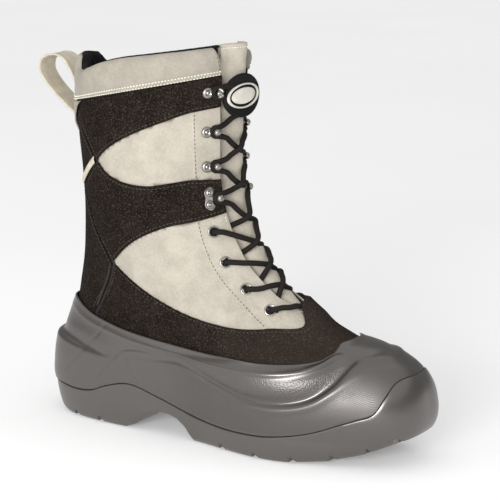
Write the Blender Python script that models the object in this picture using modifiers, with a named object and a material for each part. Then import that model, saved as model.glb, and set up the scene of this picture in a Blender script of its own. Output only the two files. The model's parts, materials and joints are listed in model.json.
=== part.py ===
"""A laced winter pac boot for the right foot, standing empty on its sole.

Frame: +X runs from the heel to the toe, -Y is the lateral (outer) side, +Z is up.
All tables are in millimetres, measured from the back of the last and from the ground.
A place on the last has two coordinates: u runs once round it (0 at the back, 0.25 on the
lateral side, 0.5 at the front, 0.75 on the medial side), and z is its height.
"w" is the way from the back to the front on either side, from 0 to 0.5.
"""
import math

import bmesh
import bpy
import numpy as np
from mathutils import Matrix, Vector

MM = 0.001
GAP = 0.35            # space between two rigid neighbours
WALL = 2.5            # upper: cloth, leather and lining together
SUEDE = 1.2
SKIN_GAP = 0.6        # space under a suede overlay
OUTLINE_DEPTH = 16.0  # thickness of the blocks that cut the overlays' outlines
EYESTAY_RISE = 0.8
OVER_SUEDE = 2.2      # where a piece lies on the suede, above the last
LIFT = {"lateral": 0.0, "medial": 0.5}   # metal on the more curved side lies higher
EYESTAY_EDGE = 0.386
THROAT_EDGE = 0.44
INSOLE = 4.0
SHELL_FLOOR = 2.5
CUP_WALL = 2.0        # how far the shell steps in behind the outsole's cup
LEDGE_GAP = 0.6       # height of the parting groove over the cup's edge
CUP_STEP = 0.8        # how far the cup stands proud of the shell
LACE_RADIUS = 2.0
HALF_COLUMNS = 18
TOE_BEND = 7.0        # the toe's tip swings to the medial side

# The last, one row for each loop round it, from the feather line to the collar's rim.
LAST_COLUMNS = ("back_x", "back_z", "front_x", "front_z", "heel", "waist",
                "ball_out", "ball_in", "toe_out", "toe_in", "roundness")
LAST = (
    ("feather", 13, 26, 302, 18, 34, 35, 48, 45, 39, 39, 3.4),
    ("low", 10, 45, 308, 40, 36, 39, 51.5, 48.5, 42, 42, 3.2),
    ("toe_box", 11, 60, 304, 58, 37, 42, 52, 49, 39, 39, 2.9),
    ("toe_top", 15, 75, 287, 73, 37, 44, 50, 47, 35, 34, 2.6),
    ("vamp", 20, 90, 258, 85, 38, 45, 48, 45, 33, 28, 2.4),
    ("waist", 24, 108, 233, 97, 40, 48, 46, 43, 34, 21, 2.3),
    ("instep", 28, 128, 211, 114, 43, 50, 47, 42, 38, 18, 2.2),
    ("throat", 31, 150, 188, 138, 47, 53, 50, 45, 44, 20, 2.15),
    ("ankle", 33, 175, 172, 167, 51, 56, 54, 50, 51, 26, 2.1),
    ("shin", 33, 200, 164, 198, 54, 57.5, 56.5, 53.5, 54, 32, 2.1),
    ("calf", 31, 225, 163.5, 236, 56, 58.5, 58, 55, 56, 34, 2.1),
    ("collar_seam", 30, 247, 166, 276, 57, 59, 58.5, 55.5, 57, 35, 2.1),
    ("collar_rim", 29, 280, 168, 296, 58, 60, 59.5, 56.5, 58, 36, 2.1),
)
WIDTH_STATIONS = (0.0, 0.15, 0.42, 0.70, 0.90, 1.0)
COLLAR_SEAM_ROW = 11
COLLAR_RIM_ROW = 12

# How far the moulded lower stands out from the last: a row for each height, a column
# for each station on the way from the back to the toe.
BODY_STATIONS = (0.0, 0.08, 0.17, 0.24, 0.33, 0.41, 0.46, 0.50)
BODY_HEIGHTS = (0, 14, 30, 45, 60, 75, 92)
BODY_OUT = (
    (6.0, 4.0, 3.0, 2.0, 2.0, 1.0, -2.0, -4.0),
    (10.0, 7.0, 5.5, 5.0, 5.5, 6.5, 6.5, 5.0),
    (12.5, 7.5, 6.0, 6.0, 6.5, 8.5, 10.0, 10.5),
    (9.5, 7.0, 6.0, 6.0, 6.5, 8.5, 9.5, 9.0),
    (8.0, 6.0, 5.5, 6.0, 6.5, 8.0, 9.0, 9.5),
    (5.0, 5.0, 5.0, 5.0, 5.5, 7.0, 7.0, 7.0),
    (5.0, 4.5, 4.5, 4.5, 5.0, 5.0, 4.0, 4.0),
)

# Heights of the lines that run round the moulded lower.
SHELL_LINE_COLUMNS = ("w", "topline", "lip", "valley", "parting")
SHELL_LINES = (
    (0.00, 92.5, 85.0, 65.0, 27.5),
    (0.04, 92.0, 84.0, 62.5, 25.0),
    (0.06, 88.5, 80.5, 61.0, 23.8),
    (0.085, 84.3, 77.0, 58.5, 25.8),
    (0.105, 82.2, 75.2, 57.0, 31.5),
    (0.14, 79.3, 72.5, 58.5, 37.4),
    (0.18, 77.6, 71.0, 62.0, 30.8),
    (0.22, 76.2, 69.6, 63.5, 22.6),
    (0.26, 75.0, 68.2, 54.7, 18.8),
    (0.30, 73.9, 66.8, 47.0, 18.3),
    (0.34, 71.7, 64.8, 46.0, 20.2),
    (0.375, 71.4, 65.9, 50.2, 26.0),
    (0.405, 73.2, 69.9, 59.6, 35.0),
    (0.425, 76.0, 73.6, 66.6, 39.2),
    (0.442, 78.6, 76.2, 71.6, 43.0),
    (0.455, 81.0, 78.4, 74.3, 52.0),
    (0.47, 83.5, 80.7, 75.6, 59.4),
    (0.50, 84.6, 81.2, 75.4, 61.3),
)

# The footbed's height and the ground's profile under the sole, along X.
FOOTBED = ((10, 28), (80, 29), (125, 30.5), (150, 25.5), (170, 23), (220, 19.5), (262, 19.5),
           (286, 26.5), (300, 33))
GROUND = (
    (-30, 18), (0, 8), (10, 4.5), (18, 0.5), (22, 0), (80, 0), (89, 3.5), (98, 9.5),
    (108, 15.5), (114, 17.5), (122, 17.5), (130, 15), (138, 9), (144, 0), (228, 0),
    (257, 3), (281, 9.5), (310, 21.5), (318, 27), (340, 42),
)
NOTCHES = (32, 57, 173, 204, 233, 261, 286, 306)
NOTCH_HALF_WIDTH = 2.4
NOTCH_DEPTH = 4.5

# Edges of the suede, as heights along the way w from the back to the throat.
TOP_BAND_LOW = ((0.114, 236), (0.15, 223), (0.182, 210), (0.20, 215.5), (0.221, 221),
                (0.268, 231), (0.328, 241), (0.383, 248.5), (0.44, 252))
MID_BAND_HIGH = ((0.082, 182.5), (0.12, 191.5), (0.184, 208), (0.201, 202.5), (0.227, 198),
                 (0.261, 195), (0.302, 194.5), (0.342, 197), (0.38, 199), (0.44, 198.5))
MID_BAND_LOW = ((0.082, 177), (0.112, 174), (0.127, 160), (0.168, 133), (0.188, 138),
                (0.209, 143.5), (0.242, 151.5), (0.282, 159), (0.326, 165), (0.38, 169),
                (0.44, 174))
GUARD_HIGH = ((0.168, 130), (0.193, 122.5), (0.227, 113), (0.258, 105.5), (0.286, 100),
              (0.321, 95.5), (0.354, 93), (0.40, 93), (0.45, 94), (0.466, 97),
              (0.478, 102.5), (0.50, 106))
# Half the back strip's spread on each side, by height.
BACK_STRIP_EDGE = ((84, 0.078), (96, 0.096), (110, 0.125), (130, 0.160), (142, 0.148),
                   (160, 0.120), (174, 0.105), (178.5, 0.075), (183, 0.075),
                   (193, 0.118), (208, 0.178), (222, 0.146), (236, 0.110), (252, 0.068))
# The throat: how far round its edge lies, by row of the last.
THROAT_FOOT_ROW = 5.4
THROAT = ((THROAT_FOOT_ROW, 0.5), (5.53, 0.477), (5.95, 0.458), (6.8, 0.446),
          (7.6, 0.441), (8.6, THROAT_EDGE), (11.0, THROAT_EDGE))
UPPER_ROWS = (1, 2, 3, 3.8, 4.6, THROAT_FOOT_ROW, 5.53, 5.95, 6.8, 7.5, 8.2, 9.0, 10, 11)

# Lace fastenings from the top down: w of the plate, w of the ball, height.
HOOKS = (
    ("hook_1", "plate", 0.412, 0.431, 263),
    ("hook_2", "ball", 0.413, 0.431, 234),
    ("hook_3", "ball", 0.413, 0.431, 208.5),
    ("hook_4", "lock", 0.412, 0.430, 185),
)
EYELETS = (("eyelet_1", 0.406, 161), ("eyelet_2", 0.407, 139),
           ("eyelet_3", 0.415, 120), ("eyelet_4", 0.429, 105.5))
# Lace crossings: where each pair of strands starts and ends.
CROSSINGS = (
    ("lace_crossing_2", 0.446, 231, 0.446, 211.5),
    ("lace_crossing_3", 0.446, 205.5, 0.446, 188),
    ("lace_crossing_4", 0.446, 182, 0.448, 165),
    ("lace_crossing_5", 0.421, 161, 0.450, 143),
    ("lace_crossing_6", 0.422, 139, 0.456, 125),
    ("lace_crossing_7", 0.430, 120, 0.468, 110),
)
LACE_OUT = 3.6        # lace's centre line above the last, clear of flaps and tongue

# The pull loop's centre line behind the collar, x and z.
LOOP_PATH = ((26.4, 224), (25.6, 230), (17, 237), (3.5, 247.5), (-8, 258.5), (-13, 267),
             (-11.5, 274.5), (-5, 278.5), (3, 279), (10, 276), (15, 269.5), (19, 263),
             (22.2, 257), (22.4, 252))
LOOP_WIDTH = 20.0
LOOP_THICKNESS = 1.6


def clear_scene():
    for item in list(bpy.data.objects):
        bpy.data.objects.remove(item, do_unlink=True)


def line(table, at, column=1):
    """Read a column of a short table, straight between its rows."""
    rows = np.array(table, float)
    return np.interp(at, rows[:, 0], rows[:, column])


def curve_through(x, xs, ys):
    """A smooth cubic through (xs, ys), read at x."""
    xs = np.asarray(xs, float)
    ys = np.asarray(ys, float)
    slopes = np.diff(ys) / np.diff(xs)
    tangents = np.concatenate([slopes[:1], (slopes[:-1] + slopes[1:]) / 2, slopes[-1:]])
    x = np.clip(x, xs[0], xs[-1])
    i = np.clip(np.searchsorted(xs, x) - 1, 0, len(xs) - 2)
    span = xs[i + 1] - xs[i]
    f = (x - xs[i]) / span
    return ((2 * f**3 - 3 * f**2 + 1) * ys[i] + (f**3 - 2 * f**2 + f) * span * tangents[i]
            + (3 * f**2 - 2 * f**3) * ys[i + 1] + (f**3 - f**2) * span * tangents[i + 1])


def last_row(v):
    """All the last's columns at row v, smooth between the charted rows."""
    table = np.array([row[1:] for row in LAST], float)
    rows = np.arange(len(LAST), dtype=float)
    values = [curve_through(v, rows, table[:, k]) for k in range(table.shape[1])]
    return dict(zip(LAST_COLUMNS, values))


def last_loop(v, turns):
    """Points of the loop at row v, spaced evenly along each side."""
    row = last_row(v)
    angle = np.linspace(0, math.pi, 241)
    along = (1 - np.sign(np.cos(angle)) * np.abs(np.cos(angle)) ** (2 / row["roundness"])) / 2
    bulge = np.abs(np.sin(angle)) ** (2 / row["roundness"])
    bend = TOE_BEND * np.clip((along - 0.5) / 0.5, 0, 1) ** 2 * max(1 - v / 6, 0)
    points = np.zeros((len(turns), 3))
    for side, name in ((-1, "_out"), (1, "_in")):
        ball, toe = row["ball" + name], row["toe" + name]
        widths = (row["heel"], row["heel"], row["waist"], ball, toe, toe)
        half = np.stack([
            row["back_x"] + (row["front_x"] - row["back_x"]) * along,
            side * curve_through(along, WIDTH_STATIONS, widths) * bulge + bend,
            row["back_z"] + (row["front_z"] - row["back_z"]) * along], -1)
        steps = np.linalg.norm(np.diff(half, axis=0), axis=1)
        way = np.concatenate([[0], np.cumsum(steps)]) / steps.sum() / 2
        mine = turns <= 0.5 if side < 0 else turns > 0.5
        w = turns[mine] if side < 0 else 1 - turns[mine]
        points[mine] = np.stack([np.interp(w, way, half[:, k]) for k in range(3)], -1)
    return points


U_CELLS = 720
V_CELLS = 240
CHART_V = np.linspace(0, len(LAST) - 1, V_CELLS + 1)
CHART = np.stack([last_loop(v, np.linspace(0, 1, U_CELLS + 1)) for v in CHART_V])


def chart_normals():
    around = np.roll(CHART[:, :-1], -1, axis=1) - np.roll(CHART[:, :-1], 1, axis=1)
    across = np.gradient(CHART[:, :-1], axis=0)
    normal = np.cross(around, across)
    normal = np.concatenate([normal, normal[:, :1]], axis=1)
    return normal / np.linalg.norm(normal, axis=2, keepdims=True)


NORMALS = chart_normals()


def read_chart(grid, u, v):
    """Read a charted grid between its cells at turn u and row v."""
    column = np.mod(u, 1.0) * U_CELLS
    row = np.clip(v, 0, len(LAST) - 1) * V_CELLS / (len(LAST) - 1)
    c = np.minimum(column.astype(int), U_CELLS - 1)
    r = np.minimum(row.astype(int), V_CELLS - 1)
    fc = (column - c)[..., None]
    fr = (row - r)[..., None]
    low = grid[r, c] * (1 - fc) + grid[r, c + 1] * fc
    high = grid[r + 1, c] * (1 - fc) + grid[r + 1, c + 1] * fc
    return low * (1 - fr) + high * fr


def on_row(u, v, out=0.0):
    """Points on the last at turns u and rows v, moved out along the normal."""
    u, v, out = np.broadcast_arrays(*(np.asarray(a, float) for a in (u, v, out)))
    normal = read_chart(NORMALS, u, v)
    normal = normal / np.linalg.norm(normal, axis=-1, keepdims=True)
    return read_chart(CHART, u, v) + normal * out[..., None]


def row_at(u, z):
    """The row of the last that has height z at turn u."""
    u, z = np.broadcast_arrays(np.asarray(u, float), np.asarray(z, float))
    columns = np.rint(np.mod(u, 1.0) * U_CELLS).astype(int)
    rows = [np.interp(height, CHART[:, c, 2], CHART_V)
            for c, height in zip(columns.ravel(), z.ravel())]
    return np.array(rows).reshape(u.shape)


def at_height(u, z, out=0.0):
    """Points beside the last at height z; below its lowest row they go straight down."""
    u, z, out = np.broadcast_arrays(*(np.asarray(a, float) for a in (u, z, out)))
    v = row_at(u, z)
    points = on_row(u, v)
    normal = on_row(u, v, 1.0) - points
    level = normal * (1, 1, 0)
    level = level / np.linalg.norm(level, axis=-1, keepdims=True)
    above_foot = z - on_row(u, 0.0)[..., 2]
    tilt = np.clip(above_foot / 15, 0, 1)[..., None]
    normal = level * (1 - tilt) + normal * tilt
    normal = normal / np.linalg.norm(normal, axis=-1, keepdims=True)
    points[..., 2] += np.minimum(above_foot, 0)
    return points + normal * out[..., None]


def way(u):
    """The way from the back to the front for a turn u."""
    return 0.5 - np.abs(np.mod(u, 1.0) - 0.5)


def body_out(u, z):
    """How far the moulded lower stands out at turn u and height z."""
    u, z = np.broadcast_arrays(np.asarray(u, float), np.asarray(z, float))
    levels = np.stack([curve_through(way(u), BODY_STATIONS, row) for row in BODY_OUT])
    flat = levels.reshape(len(BODY_HEIGHTS), -1)
    values = [curve_through(height, BODY_HEIGHTS, flat[:, k])
              for k, height in enumerate(z.ravel())]
    return np.array(values).reshape(z.shape)


def shell_line(u, name):
    """Height of one of the lines round the moulded lower."""
    rows = np.array(SHELL_LINES, float)
    column = SHELL_LINE_COLUMNS.index(name)
    return curve_through(way(u), rows[:, 0], rows[:, column])


def under_foot(u, depth):
    """Height of a layer that lies this deep under the footbed."""
    x = on_row(u, 0.0)[..., 0]
    table = np.array(FOOTBED, float)
    return curve_through(x, table[:, 0], table[:, 1]) - depth


def eyestay_rise(u, z):
    """The step in the upper's wall along the throat."""
    front = np.clip((way(u) - EYESTAY_EDGE + 0.003) / 0.003, 0, 1)
    return EYESTAY_RISE * front * np.clip((z - 84) / 8, 0, 1)


def side_columns(start, end):
    """Ways of the columns on one side, closer together at heel, eyestay and toe."""
    t = np.linspace(0, 1, HALF_COLUMNS + 1)
    half = (t - 0.3 * np.sin(2 * math.pi * t) / (2 * math.pi)) / 2
    back = half[(half > start + 0.006) & (half < EYESTAY_EDGE - 0.012)]
    near = half[half > EYESTAY_EDGE + 0.006]
    squeeze = (end - EYESTAY_EDGE) / (0.5 - EYESTAY_EDGE)
    front = EYESTAY_EDGE + (near - EYESTAY_EDGE) * squeeze
    return np.concatenate([[start], back, [EYESTAY_EDGE - 0.003, EYESTAY_EDGE], front])


def ring_turns():
    half = side_columns(0.0, 0.5)
    return np.concatenate([half, 1 - half[-2:0:-1]])


RING = ring_turns()


# ---------------------------------------------------------------- materials and objects


def material(name, colour, roughness, metallic=0.0):
    made = bpy.data.materials.get(name)
    if made is None:
        made = bpy.data.materials.new(name)
        made.use_nodes = True
        shader = made.node_tree.nodes["Principled BSDF"]
        shader.inputs["Base Color"].default_value = (*colour, 1)
        shader.inputs["Roughness"].default_value = roughness
        shader.inputs["Metallic"].default_value = metallic
        made.diffuse_color = (*colour, 1)
    return made


def rubber():
    return material("grey_rubber", (0.12, 0.115, 0.115), 0.55)


def black_rubber():
    return material("black_rubber", (0.02, 0.02, 0.02), 0.5)


def suede():
    return material("dark_suede", (0.035, 0.03, 0.026), 0.95)


def canvas():
    return material("beige_canvas", (0.62, 0.58, 0.49), 0.85)


def webbing():
    return material("beige_webbing", (0.60, 0.56, 0.44), 0.8)


def metal():
    return material("nickel", (0.55, 0.55, 0.55), 0.3, 1.0)


def lace_cord():
    return material("dark_cord", (0.03, 0.027, 0.025), 0.8)


def collection(name):
    made = bpy.data.collections.new(name)
    bpy.context.scene.collection.children.link(made)
    return made


def new_object(name, mesh, look, group):
    made = bpy.data.objects.new(name, mesh)
    if look is not None:
        mesh.materials.clear()
        mesh.materials.append(look)
    group.objects.link(made)
    return made


def mesh_from(name, points, faces, closed):
    """A mesh from points in millimetres; a closed one gets its faces pointing out."""
    mesh = bpy.data.meshes.new(name)
    mesh.from_pydata((np.asarray(points, float) * MM).tolist(), [], faces)
    work = bmesh.new()
    work.from_mesh(mesh)
    bmesh.ops.remove_doubles(work, verts=work.verts, dist=0.00001)
    if closed:
        bmesh.ops.recalc_face_normals(work, faces=work.faces)
    work.to_mesh(mesh)
    work.free()
    mesh.shade_smooth()
    mesh.set_sharp_from_angle(angle=math.radians(40))
    return mesh


def cells(rows, columns, wrap, inner_from=None):
    """Triangles of a grid; wrap joins its last column to its first.

    From row inner_from on, the wall runs down inside, and its cells are split the other
    way, so that they lie parallel to what stands inside them.
    """
    faces = []
    for r in range(rows - 1):
        for c in range(columns if wrap else columns - 1):
            d = (c + 1) % columns
            corners = [r * columns + c, r * columns + d,
                       (r + 1) * columns + d, (r + 1) * columns + c]
            if inner_from is not None and r >= inner_from:
                corners = corners[1:] + corners[:1]
            faces.append((corners[0], corners[1], corners[2]))
            faces.append((corners[0], corners[2], corners[3]))
    return faces


def ladder(first, columns):
    """A lid across a ring that starts at vertex first, in strips from side to side."""
    half = columns // 2
    faces = [(first, first + 1, first + columns - 1)]
    for c in range(1, half - 1):
        faces.append((first + c, first + c + 1, first + columns - c - 1, first + columns - c))
    faces.append((first + half - 1, first + half, first + half + 1))
    return faces


def loft(name, rings, look, group, inner_from=None):
    """A closed solid through rings round the boot, with a lid on the first and last."""
    columns = len(rings[0])
    faces = cells(len(rings), columns, True, inner_from)
    faces += ladder(0, columns)
    faces += ladder((len(rings) - 1) * columns, columns)
    return new_object(name, mesh_from(name, np.concatenate(rings), faces, True), look, group)


def sweep(name, sections, look, group):
    """A closed solid through closed sections set side by side."""
    count = len(sections[0])
    faces = cells(len(sections), count, wrap=True)
    faces.append(tuple(range(count)))
    faces.append(tuple(range((len(sections) - 1) * count, len(sections) * count)))
    return new_object(name, mesh_from(name, np.concatenate(sections), faces, True), look, group)


def sheet(name, grid, thickness, offset, look, group):
    """An open grid of points thickened to a wall: offset 1 outwards, -1 inwards."""
    rows, columns = grid.shape[:2]
    mesh = mesh_from(name, grid.reshape(-1, 3), cells(rows, columns, wrap=False), False)
    made = new_object(name, mesh, look, group)
    solid = made.modifiers.new("wall", "SOLIDIFY")
    solid.thickness = thickness * MM
    solid.offset = offset
    return made


def cut(target, cutter, name):
    boolean = target.modifiers.new(name, "BOOLEAN")
    boolean.operation = "DIFFERENCE"
    boolean.solver = "EXACT"
    boolean.object = cutter


def cutter_object(name, mesh, group):
    made = new_object(name, mesh, None, group)
    made.hide_render = True
    made.display_type = "WIRE"
    return made


def frame_at(u, z, out):
    """A place on the last: X of the frame runs towards the throat, Z points out."""
    origin = at_height(u, z, out)
    ahead = at_height(u + (0.004 if u < 0.5 else -0.004), z, out) - origin
    normal = at_height(u, z, out + 1.0) - origin
    third = Vector(normal).normalized()
    first = Vector(ahead)
    first = (first - third * first.dot(third)).normalized()
    second = third.cross(first)
    matrix = Matrix((first, second, third)).transposed().to_4x4()
    matrix.translation = Vector(origin) * MM
    return matrix


def joined(pieces):
    """One mesh from overlapping closed objects, which are removed."""
    body = pieces[0]
    for piece in pieces[1:]:
        boolean = body.modifiers.new("join", "BOOLEAN")
        boolean.operation = "UNION"
        boolean.solver = "EXACT"
        boolean.object = piece
    evaluated = body.evaluated_get(bpy.context.evaluated_depsgraph_get())
    mesh = bpy.data.meshes.new_from_object(evaluated)
    for piece in pieces:
        bpy.data.objects.remove(piece, do_unlink=True)
    return mesh


# ------------------------------------------------------------------------ moulded lower


def make_shell(group):
    """The moulded rubber lower, one wall round the last with a floor."""
    top = shell_line(RING, "topline")
    lip = shell_line(RING, "lip")
    valley = shell_line(RING, "valley")
    parting = shell_line(RING, "parting")
    floor = under_foot(RING, INSOLE + GAP + SHELL_FLOOR)
    kick = 3.0 * np.exp(-(way(RING) / 0.03) ** 2)
    levels = (
        (floor, body_out(RING, floor) - CUP_WALL),
        ((floor + parting) / 2, body_out(RING, (floor + parting) / 2) - CUP_WALL),
        (parting + LEDGE_GAP, body_out(RING, parting) - CUP_WALL),
        (parting + LEDGE_GAP + 0.2, body_out(RING, parting)),
        ((parting + valley) / 2, body_out(RING, (parting + valley) / 2) + 0.4),
        (valley - 3.5, body_out(RING, valley - 3.5) + kick / 2),
        (valley, body_out(RING, valley) - 1.8 + kick),
        (valley + 4.5, body_out(RING, valley + 4.5) - 1.0),
        (lip, body_out(RING, lip)),
        (top - 0.8, np.full_like(RING, 4.0)),
        (top, np.full_like(RING, 3.2)),
        (top, np.full_like(RING, 1.7)),
        (top - 1.2, np.full_like(RING, 1.2)),
    )
    rings = [at_height(RING, height, out) for height, out in levels]
    halfway = (row_at(RING, top) + 2) / 2
    rings += [on_row(RING, v, out) for v, out in ((halfway, 1.5), (2, 0.8), (1, 0.6))]
    rings.append(at_height(RING, under_foot(RING, INSOLE + GAP), 0.6))
    return loft("shell", rings, rubber(), group, inner_from=len(levels) - 2)


def ground_profile():
    """The underside along X, with the side notches between its lugs."""
    points = []
    marks = sorted([(x, "line") for x, _ in GROUND] + [(x, "notch") for x in NOTCHES])
    for x, kind in marks:
        z = line(GROUND, x)
        if kind == "notch":
            left = x - NOTCH_HALF_WIDTH
            right = x + NOTCH_HALF_WIDTH
            points.append((left, line(GROUND, left)))
            points.append((left + 1.2, z + NOTCH_DEPTH))
            points.append((right - 0.8, z + NOTCH_DEPTH))
            points.append((right, line(GROUND, right)))
        else:
            points.append((x, z))
    return points


def prism(name, profile, half_width, group):
    """A cutter: an outline in X and Z, drawn out along Y."""
    count = len(profile)
    near = [(x, -half_width, z) for x, z in profile]
    far = [(x, half_width, z) for x, z in profile]
    faces = [tuple(range(count)), tuple(range(2 * count - 1, count - 1, -1))]
    faces += [(c, (c + 1) % count, count + (c + 1) % count, count + c) for c in range(count)]
    return cutter_object(name, mesh_from(name, near + far, faces, True), group)


def channel_cutter(group):
    """Long channels up the tread: two under the forefoot and one under the heel."""
    work = bmesh.new()
    for x0, x1, y in ((158, 250, -17), (158, 250, 19), (14, 80, 0)):
        box = bmesh.ops.create_cube(work, size=1.0)
        place = Matrix.Translation(Vector(((x0 + x1) / 2, y, -3.0)) * MM)
        size = Matrix.Diagonal(((x1 - x0) * MM, 4.0 * MM, 13.5 * MM, 1))
        bmesh.ops.transform(work, matrix=place @ size, verts=box["verts"])
    mesh = bpy.data.meshes.new("tread_channels")
    work.to_mesh(mesh)
    work.free()
    return cutter_object("tread_channels", mesh, group)


def make_outsole(group, cutters):
    """The tread cup: flat heel and forefoot, arch, toe spring, lugs and toe bumper."""
    parting = shell_line(RING, "parting")
    bed = under_foot(RING, INSOLE + GAP + SHELL_FLOOR)
    low = np.full_like(RING, -3.0)
    tread = np.full_like(RING, 7.0)
    side = np.full_like(RING, 15.0)
    lower_side = side + (parting - side) * 0.3
    upper_side = side + (parting - side) * 0.65
    levels = (
        (low, body_out(RING, 0) + CUP_STEP),
        (tread, body_out(RING, tread) + CUP_STEP),
        (side, body_out(RING, side) + CUP_STEP),
        (lower_side, body_out(RING, lower_side) + CUP_STEP),
        (upper_side, body_out(RING, upper_side) + CUP_STEP),
        (parting - 0.8, body_out(RING, parting) + CUP_STEP),
        (parting, body_out(RING, parting) + CUP_STEP - 0.5),
        (parting, body_out(RING, parting) - CUP_WALL + GAP),
        ((bed + parting) / 2, body_out(RING, (bed + parting) / 2) - CUP_WALL + GAP),
        (bed - GAP, body_out(RING, bed) - CUP_WALL + GAP),
    )
    rings = [at_height(RING, height, out) for height, out in levels]
    made = loft("outsole", rings, rubber(), group, inner_from=len(rings) - 4)
    profile = ground_profile() + [(340, -20), (-30, -20)]
    cut(made, prism("ground_cutter", profile, 90, cutters), "ground")
    cut(made, channel_cutter(cutters), "channels")
    return made


def make_insole(group):
    """The loose footbed, inside the upper's wall."""
    inset = -(WALL + 0.8)
    rings = [at_height(RING, under_foot(RING, depth), out)
             for depth, out in ((INSOLE, inset), (0.8, inset), (0.0, inset - 1.0))]
    return loft("insole", rings, material("grey_felt", (0.10, 0.10, 0.11), 0.95), group)


# --------------------------------------------------------------------------- the upper


def throat_edge(v):
    """How far round the throat's edge lies at row v; 0.5 where the upper is closed."""
    return line(THROAT, v) if v >= THROAT_FOOT_ROW else 0.5


def wall_grid(rows, out, inset):
    """The upper's wall as a grid of points, its ends at the throat's two edges."""
    grid = []
    for v in rows:
        end = throat_edge(v)
        ways = side_columns(0.0, end - inset if end < 0.5 else end)
        turns = np.concatenate([1 - ways[::-1], 1 + ways[1:]])
        height = on_row(turns, v)[:, 2]
        grid.append(on_row(turns, v, out + eyestay_rise(turns, height)))
    return grid


def make_upper(group, cutters):
    """One wall on the last, open at the top, the throat and underneath."""
    ways = side_columns(0.0, 0.5)
    turns = np.concatenate([1 - ways[::-1], 1 + ways[1:]])
    foot = at_height(turns, under_foot(turns, INSOLE), 0.0)
    grid = np.stack([foot] + wall_grid(UPPER_ROWS, 0.0, 0.0))
    made = sheet("upper", grid, WALL, -1, canvas(), group)
    cut(made, eyelet_cutter(cutters), "eyelet_holes")
    return made


def eyelet_cutter(group):
    work = bmesh.new()
    for _, w, z in EYELETS:
        for u in (w, 1 - w):
            hole = bmesh.ops.create_cone(work, segments=10, radius1=0.0037, radius2=0.0037,
                                         depth=0.02, cap_ends=True)
            bmesh.ops.transform(work, matrix=frame_at(u, z, 0.0), verts=hole["verts"])
    mesh = bpy.data.meshes.new("eyelet_holes")
    work.to_mesh(mesh)
    work.free()
    return cutter_object("eyelet_holes", mesh, group)


def tongue_out(u):
    """The tongue's front: under the flaps at its sides, crowned between them."""
    near_centre = np.clip(1 - np.abs(np.mod(u, 1.0) - 0.5) / 0.058, 0, 1)
    return -(WALL + 1.4) + 3.2 * np.sin(near_centre * math.pi / 2) ** 1.5


def make_tongue(group):
    """The padded tongue, under the flaps and narrower where it meets the collar."""
    grid = []
    for v in (5.0, 5.5, 6.1, 6.8, 7.5, 8.2, 9.0, 10, 10.6, 10.95, 11.5, COLLAR_RIM_ROW):
        half_width = 0.082 if v < 10.3 else 0.056
        share = half_width / 0.082
        turns = 0.5 + half_width * np.linspace(-1, 1, 9)
        crown = tongue_out(0.5 + (turns - 0.5) / share)
        depth = -(WALL + 2.0)
        open_share = np.clip((v - 5.6) / 0.9, 0, 1)
        grid.append(on_row(turns, v, depth + (crown - depth) * open_share))
    return sheet("tongue", np.stack(grid), 5.0, -1, canvas(), group)


def make_collar(group):
    """The padded cuff, from one side of the throat round the back to the other."""
    section = ((1.5, 0.05), (4.6, 0.12), (5.6, 0.45), (4.6, 0.80), (1.5, 1.0),
               (-3.5, 1.0), (-6.0, 0.75), (-6.5, 0.35), (-4.5, 0.05))
    ways = side_columns(0.0, THROAT_EDGE)
    ways = ways[::2]
    turns = np.concatenate([1 - ways[::-1], 1 + ways[1:]])
    sections = []
    for u in turns:
        peak = 0.10 * math.exp(-(float(way(u)) / 0.03) ** 2)
        points = [on_row(u, COLLAR_SEAM_ROW + rise, out) for out, rise in section]
        points = np.array(points)
        points[:, 2] += GAP + peak * 30 * np.array([max(rise, 0) for _, rise in section])
        sections.append(points)
    return sweep("collar", sections, canvas(), group)


# ------------------------------------------------------------------------------ overlays


def make_skin(cutters):
    """A wall of suede over the whole upper, which the overlays are cut from."""
    rows = tuple(v for v in UPPER_ROWS[:-1] if v >= 2) + (10.97,)
    grid = np.stack(wall_grid(rows, GAP + 0.1, 0.003))
    return cutter_object("suede_skin", mesh_from("suede_skin", grid.reshape(-1, 3),
                         cells(*grid.shape[:2], wrap=False), False), cutters)


def between(name, turns, low, high, group, gap=SKIN_GAP):
    """A suede overlay between two edges, given as heights at the turns."""
    heights = low + (high - low) * np.linspace(0, 1, 4)[:, None]
    around = np.broadcast_to(turns, heights.shape)
    grid = at_height(around, heights, eyestay_rise(around, heights) + gap)
    return sheet(name, grid, SUEDE, 1, suede(), group)


def cut_from_skin(name, grid, skin, group, cutters):
    """A piece of the skin inside a thick block that follows a grid of points."""
    rows, columns = grid.shape[:2]
    block_mesh = mesh_from(name, grid.reshape(-1, 3), cells(rows, columns, wrap=False), False)
    block = cutter_object(name + "_outline", block_mesh, cutters)
    thick = block.modifiers.new("depth", "SOLIDIFY")
    thick.thickness = OUTLINE_DEPTH * MM
    thick.offset = 0
    made = new_object(name, skin.data.copy(), suede(), group)
    wall = made.modifiers.new("wall", "SOLIDIFY")
    wall.thickness = SUEDE * MM
    wall.offset = 1
    keep = made.modifiers.new("outline", "BOOLEAN")
    keep.operation = "INTERSECT"
    keep.solver = "EXACT"
    keep.object = block
    return made


def seam_height(w):
    return on_row(w, COLLAR_SEAM_ROW)[..., 2] - 0.4


def guard_foot(w):
    return shell_line(w, "topline") + 0.5


def make_bands(group):
    """The two suede bands on either side, from the back strip to the throat's edge."""
    for side in ("lateral", "medial"):
        for name, start, low, high in (("top_band_", 0.120, TOP_BAND_LOW, None),
                                       ("mid_band_", 0.090, MID_BAND_LOW, MID_BAND_HIGH)):
            ways = side_columns(start, THROAT_EDGE - 0.003)
            turns = ways if side == "lateral" else 1 - ways[::-1]
            upper = line(high, way(turns)) if high else seam_height(turns)
            between(name + side, turns, line(low, way(turns)), upper, group)


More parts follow.
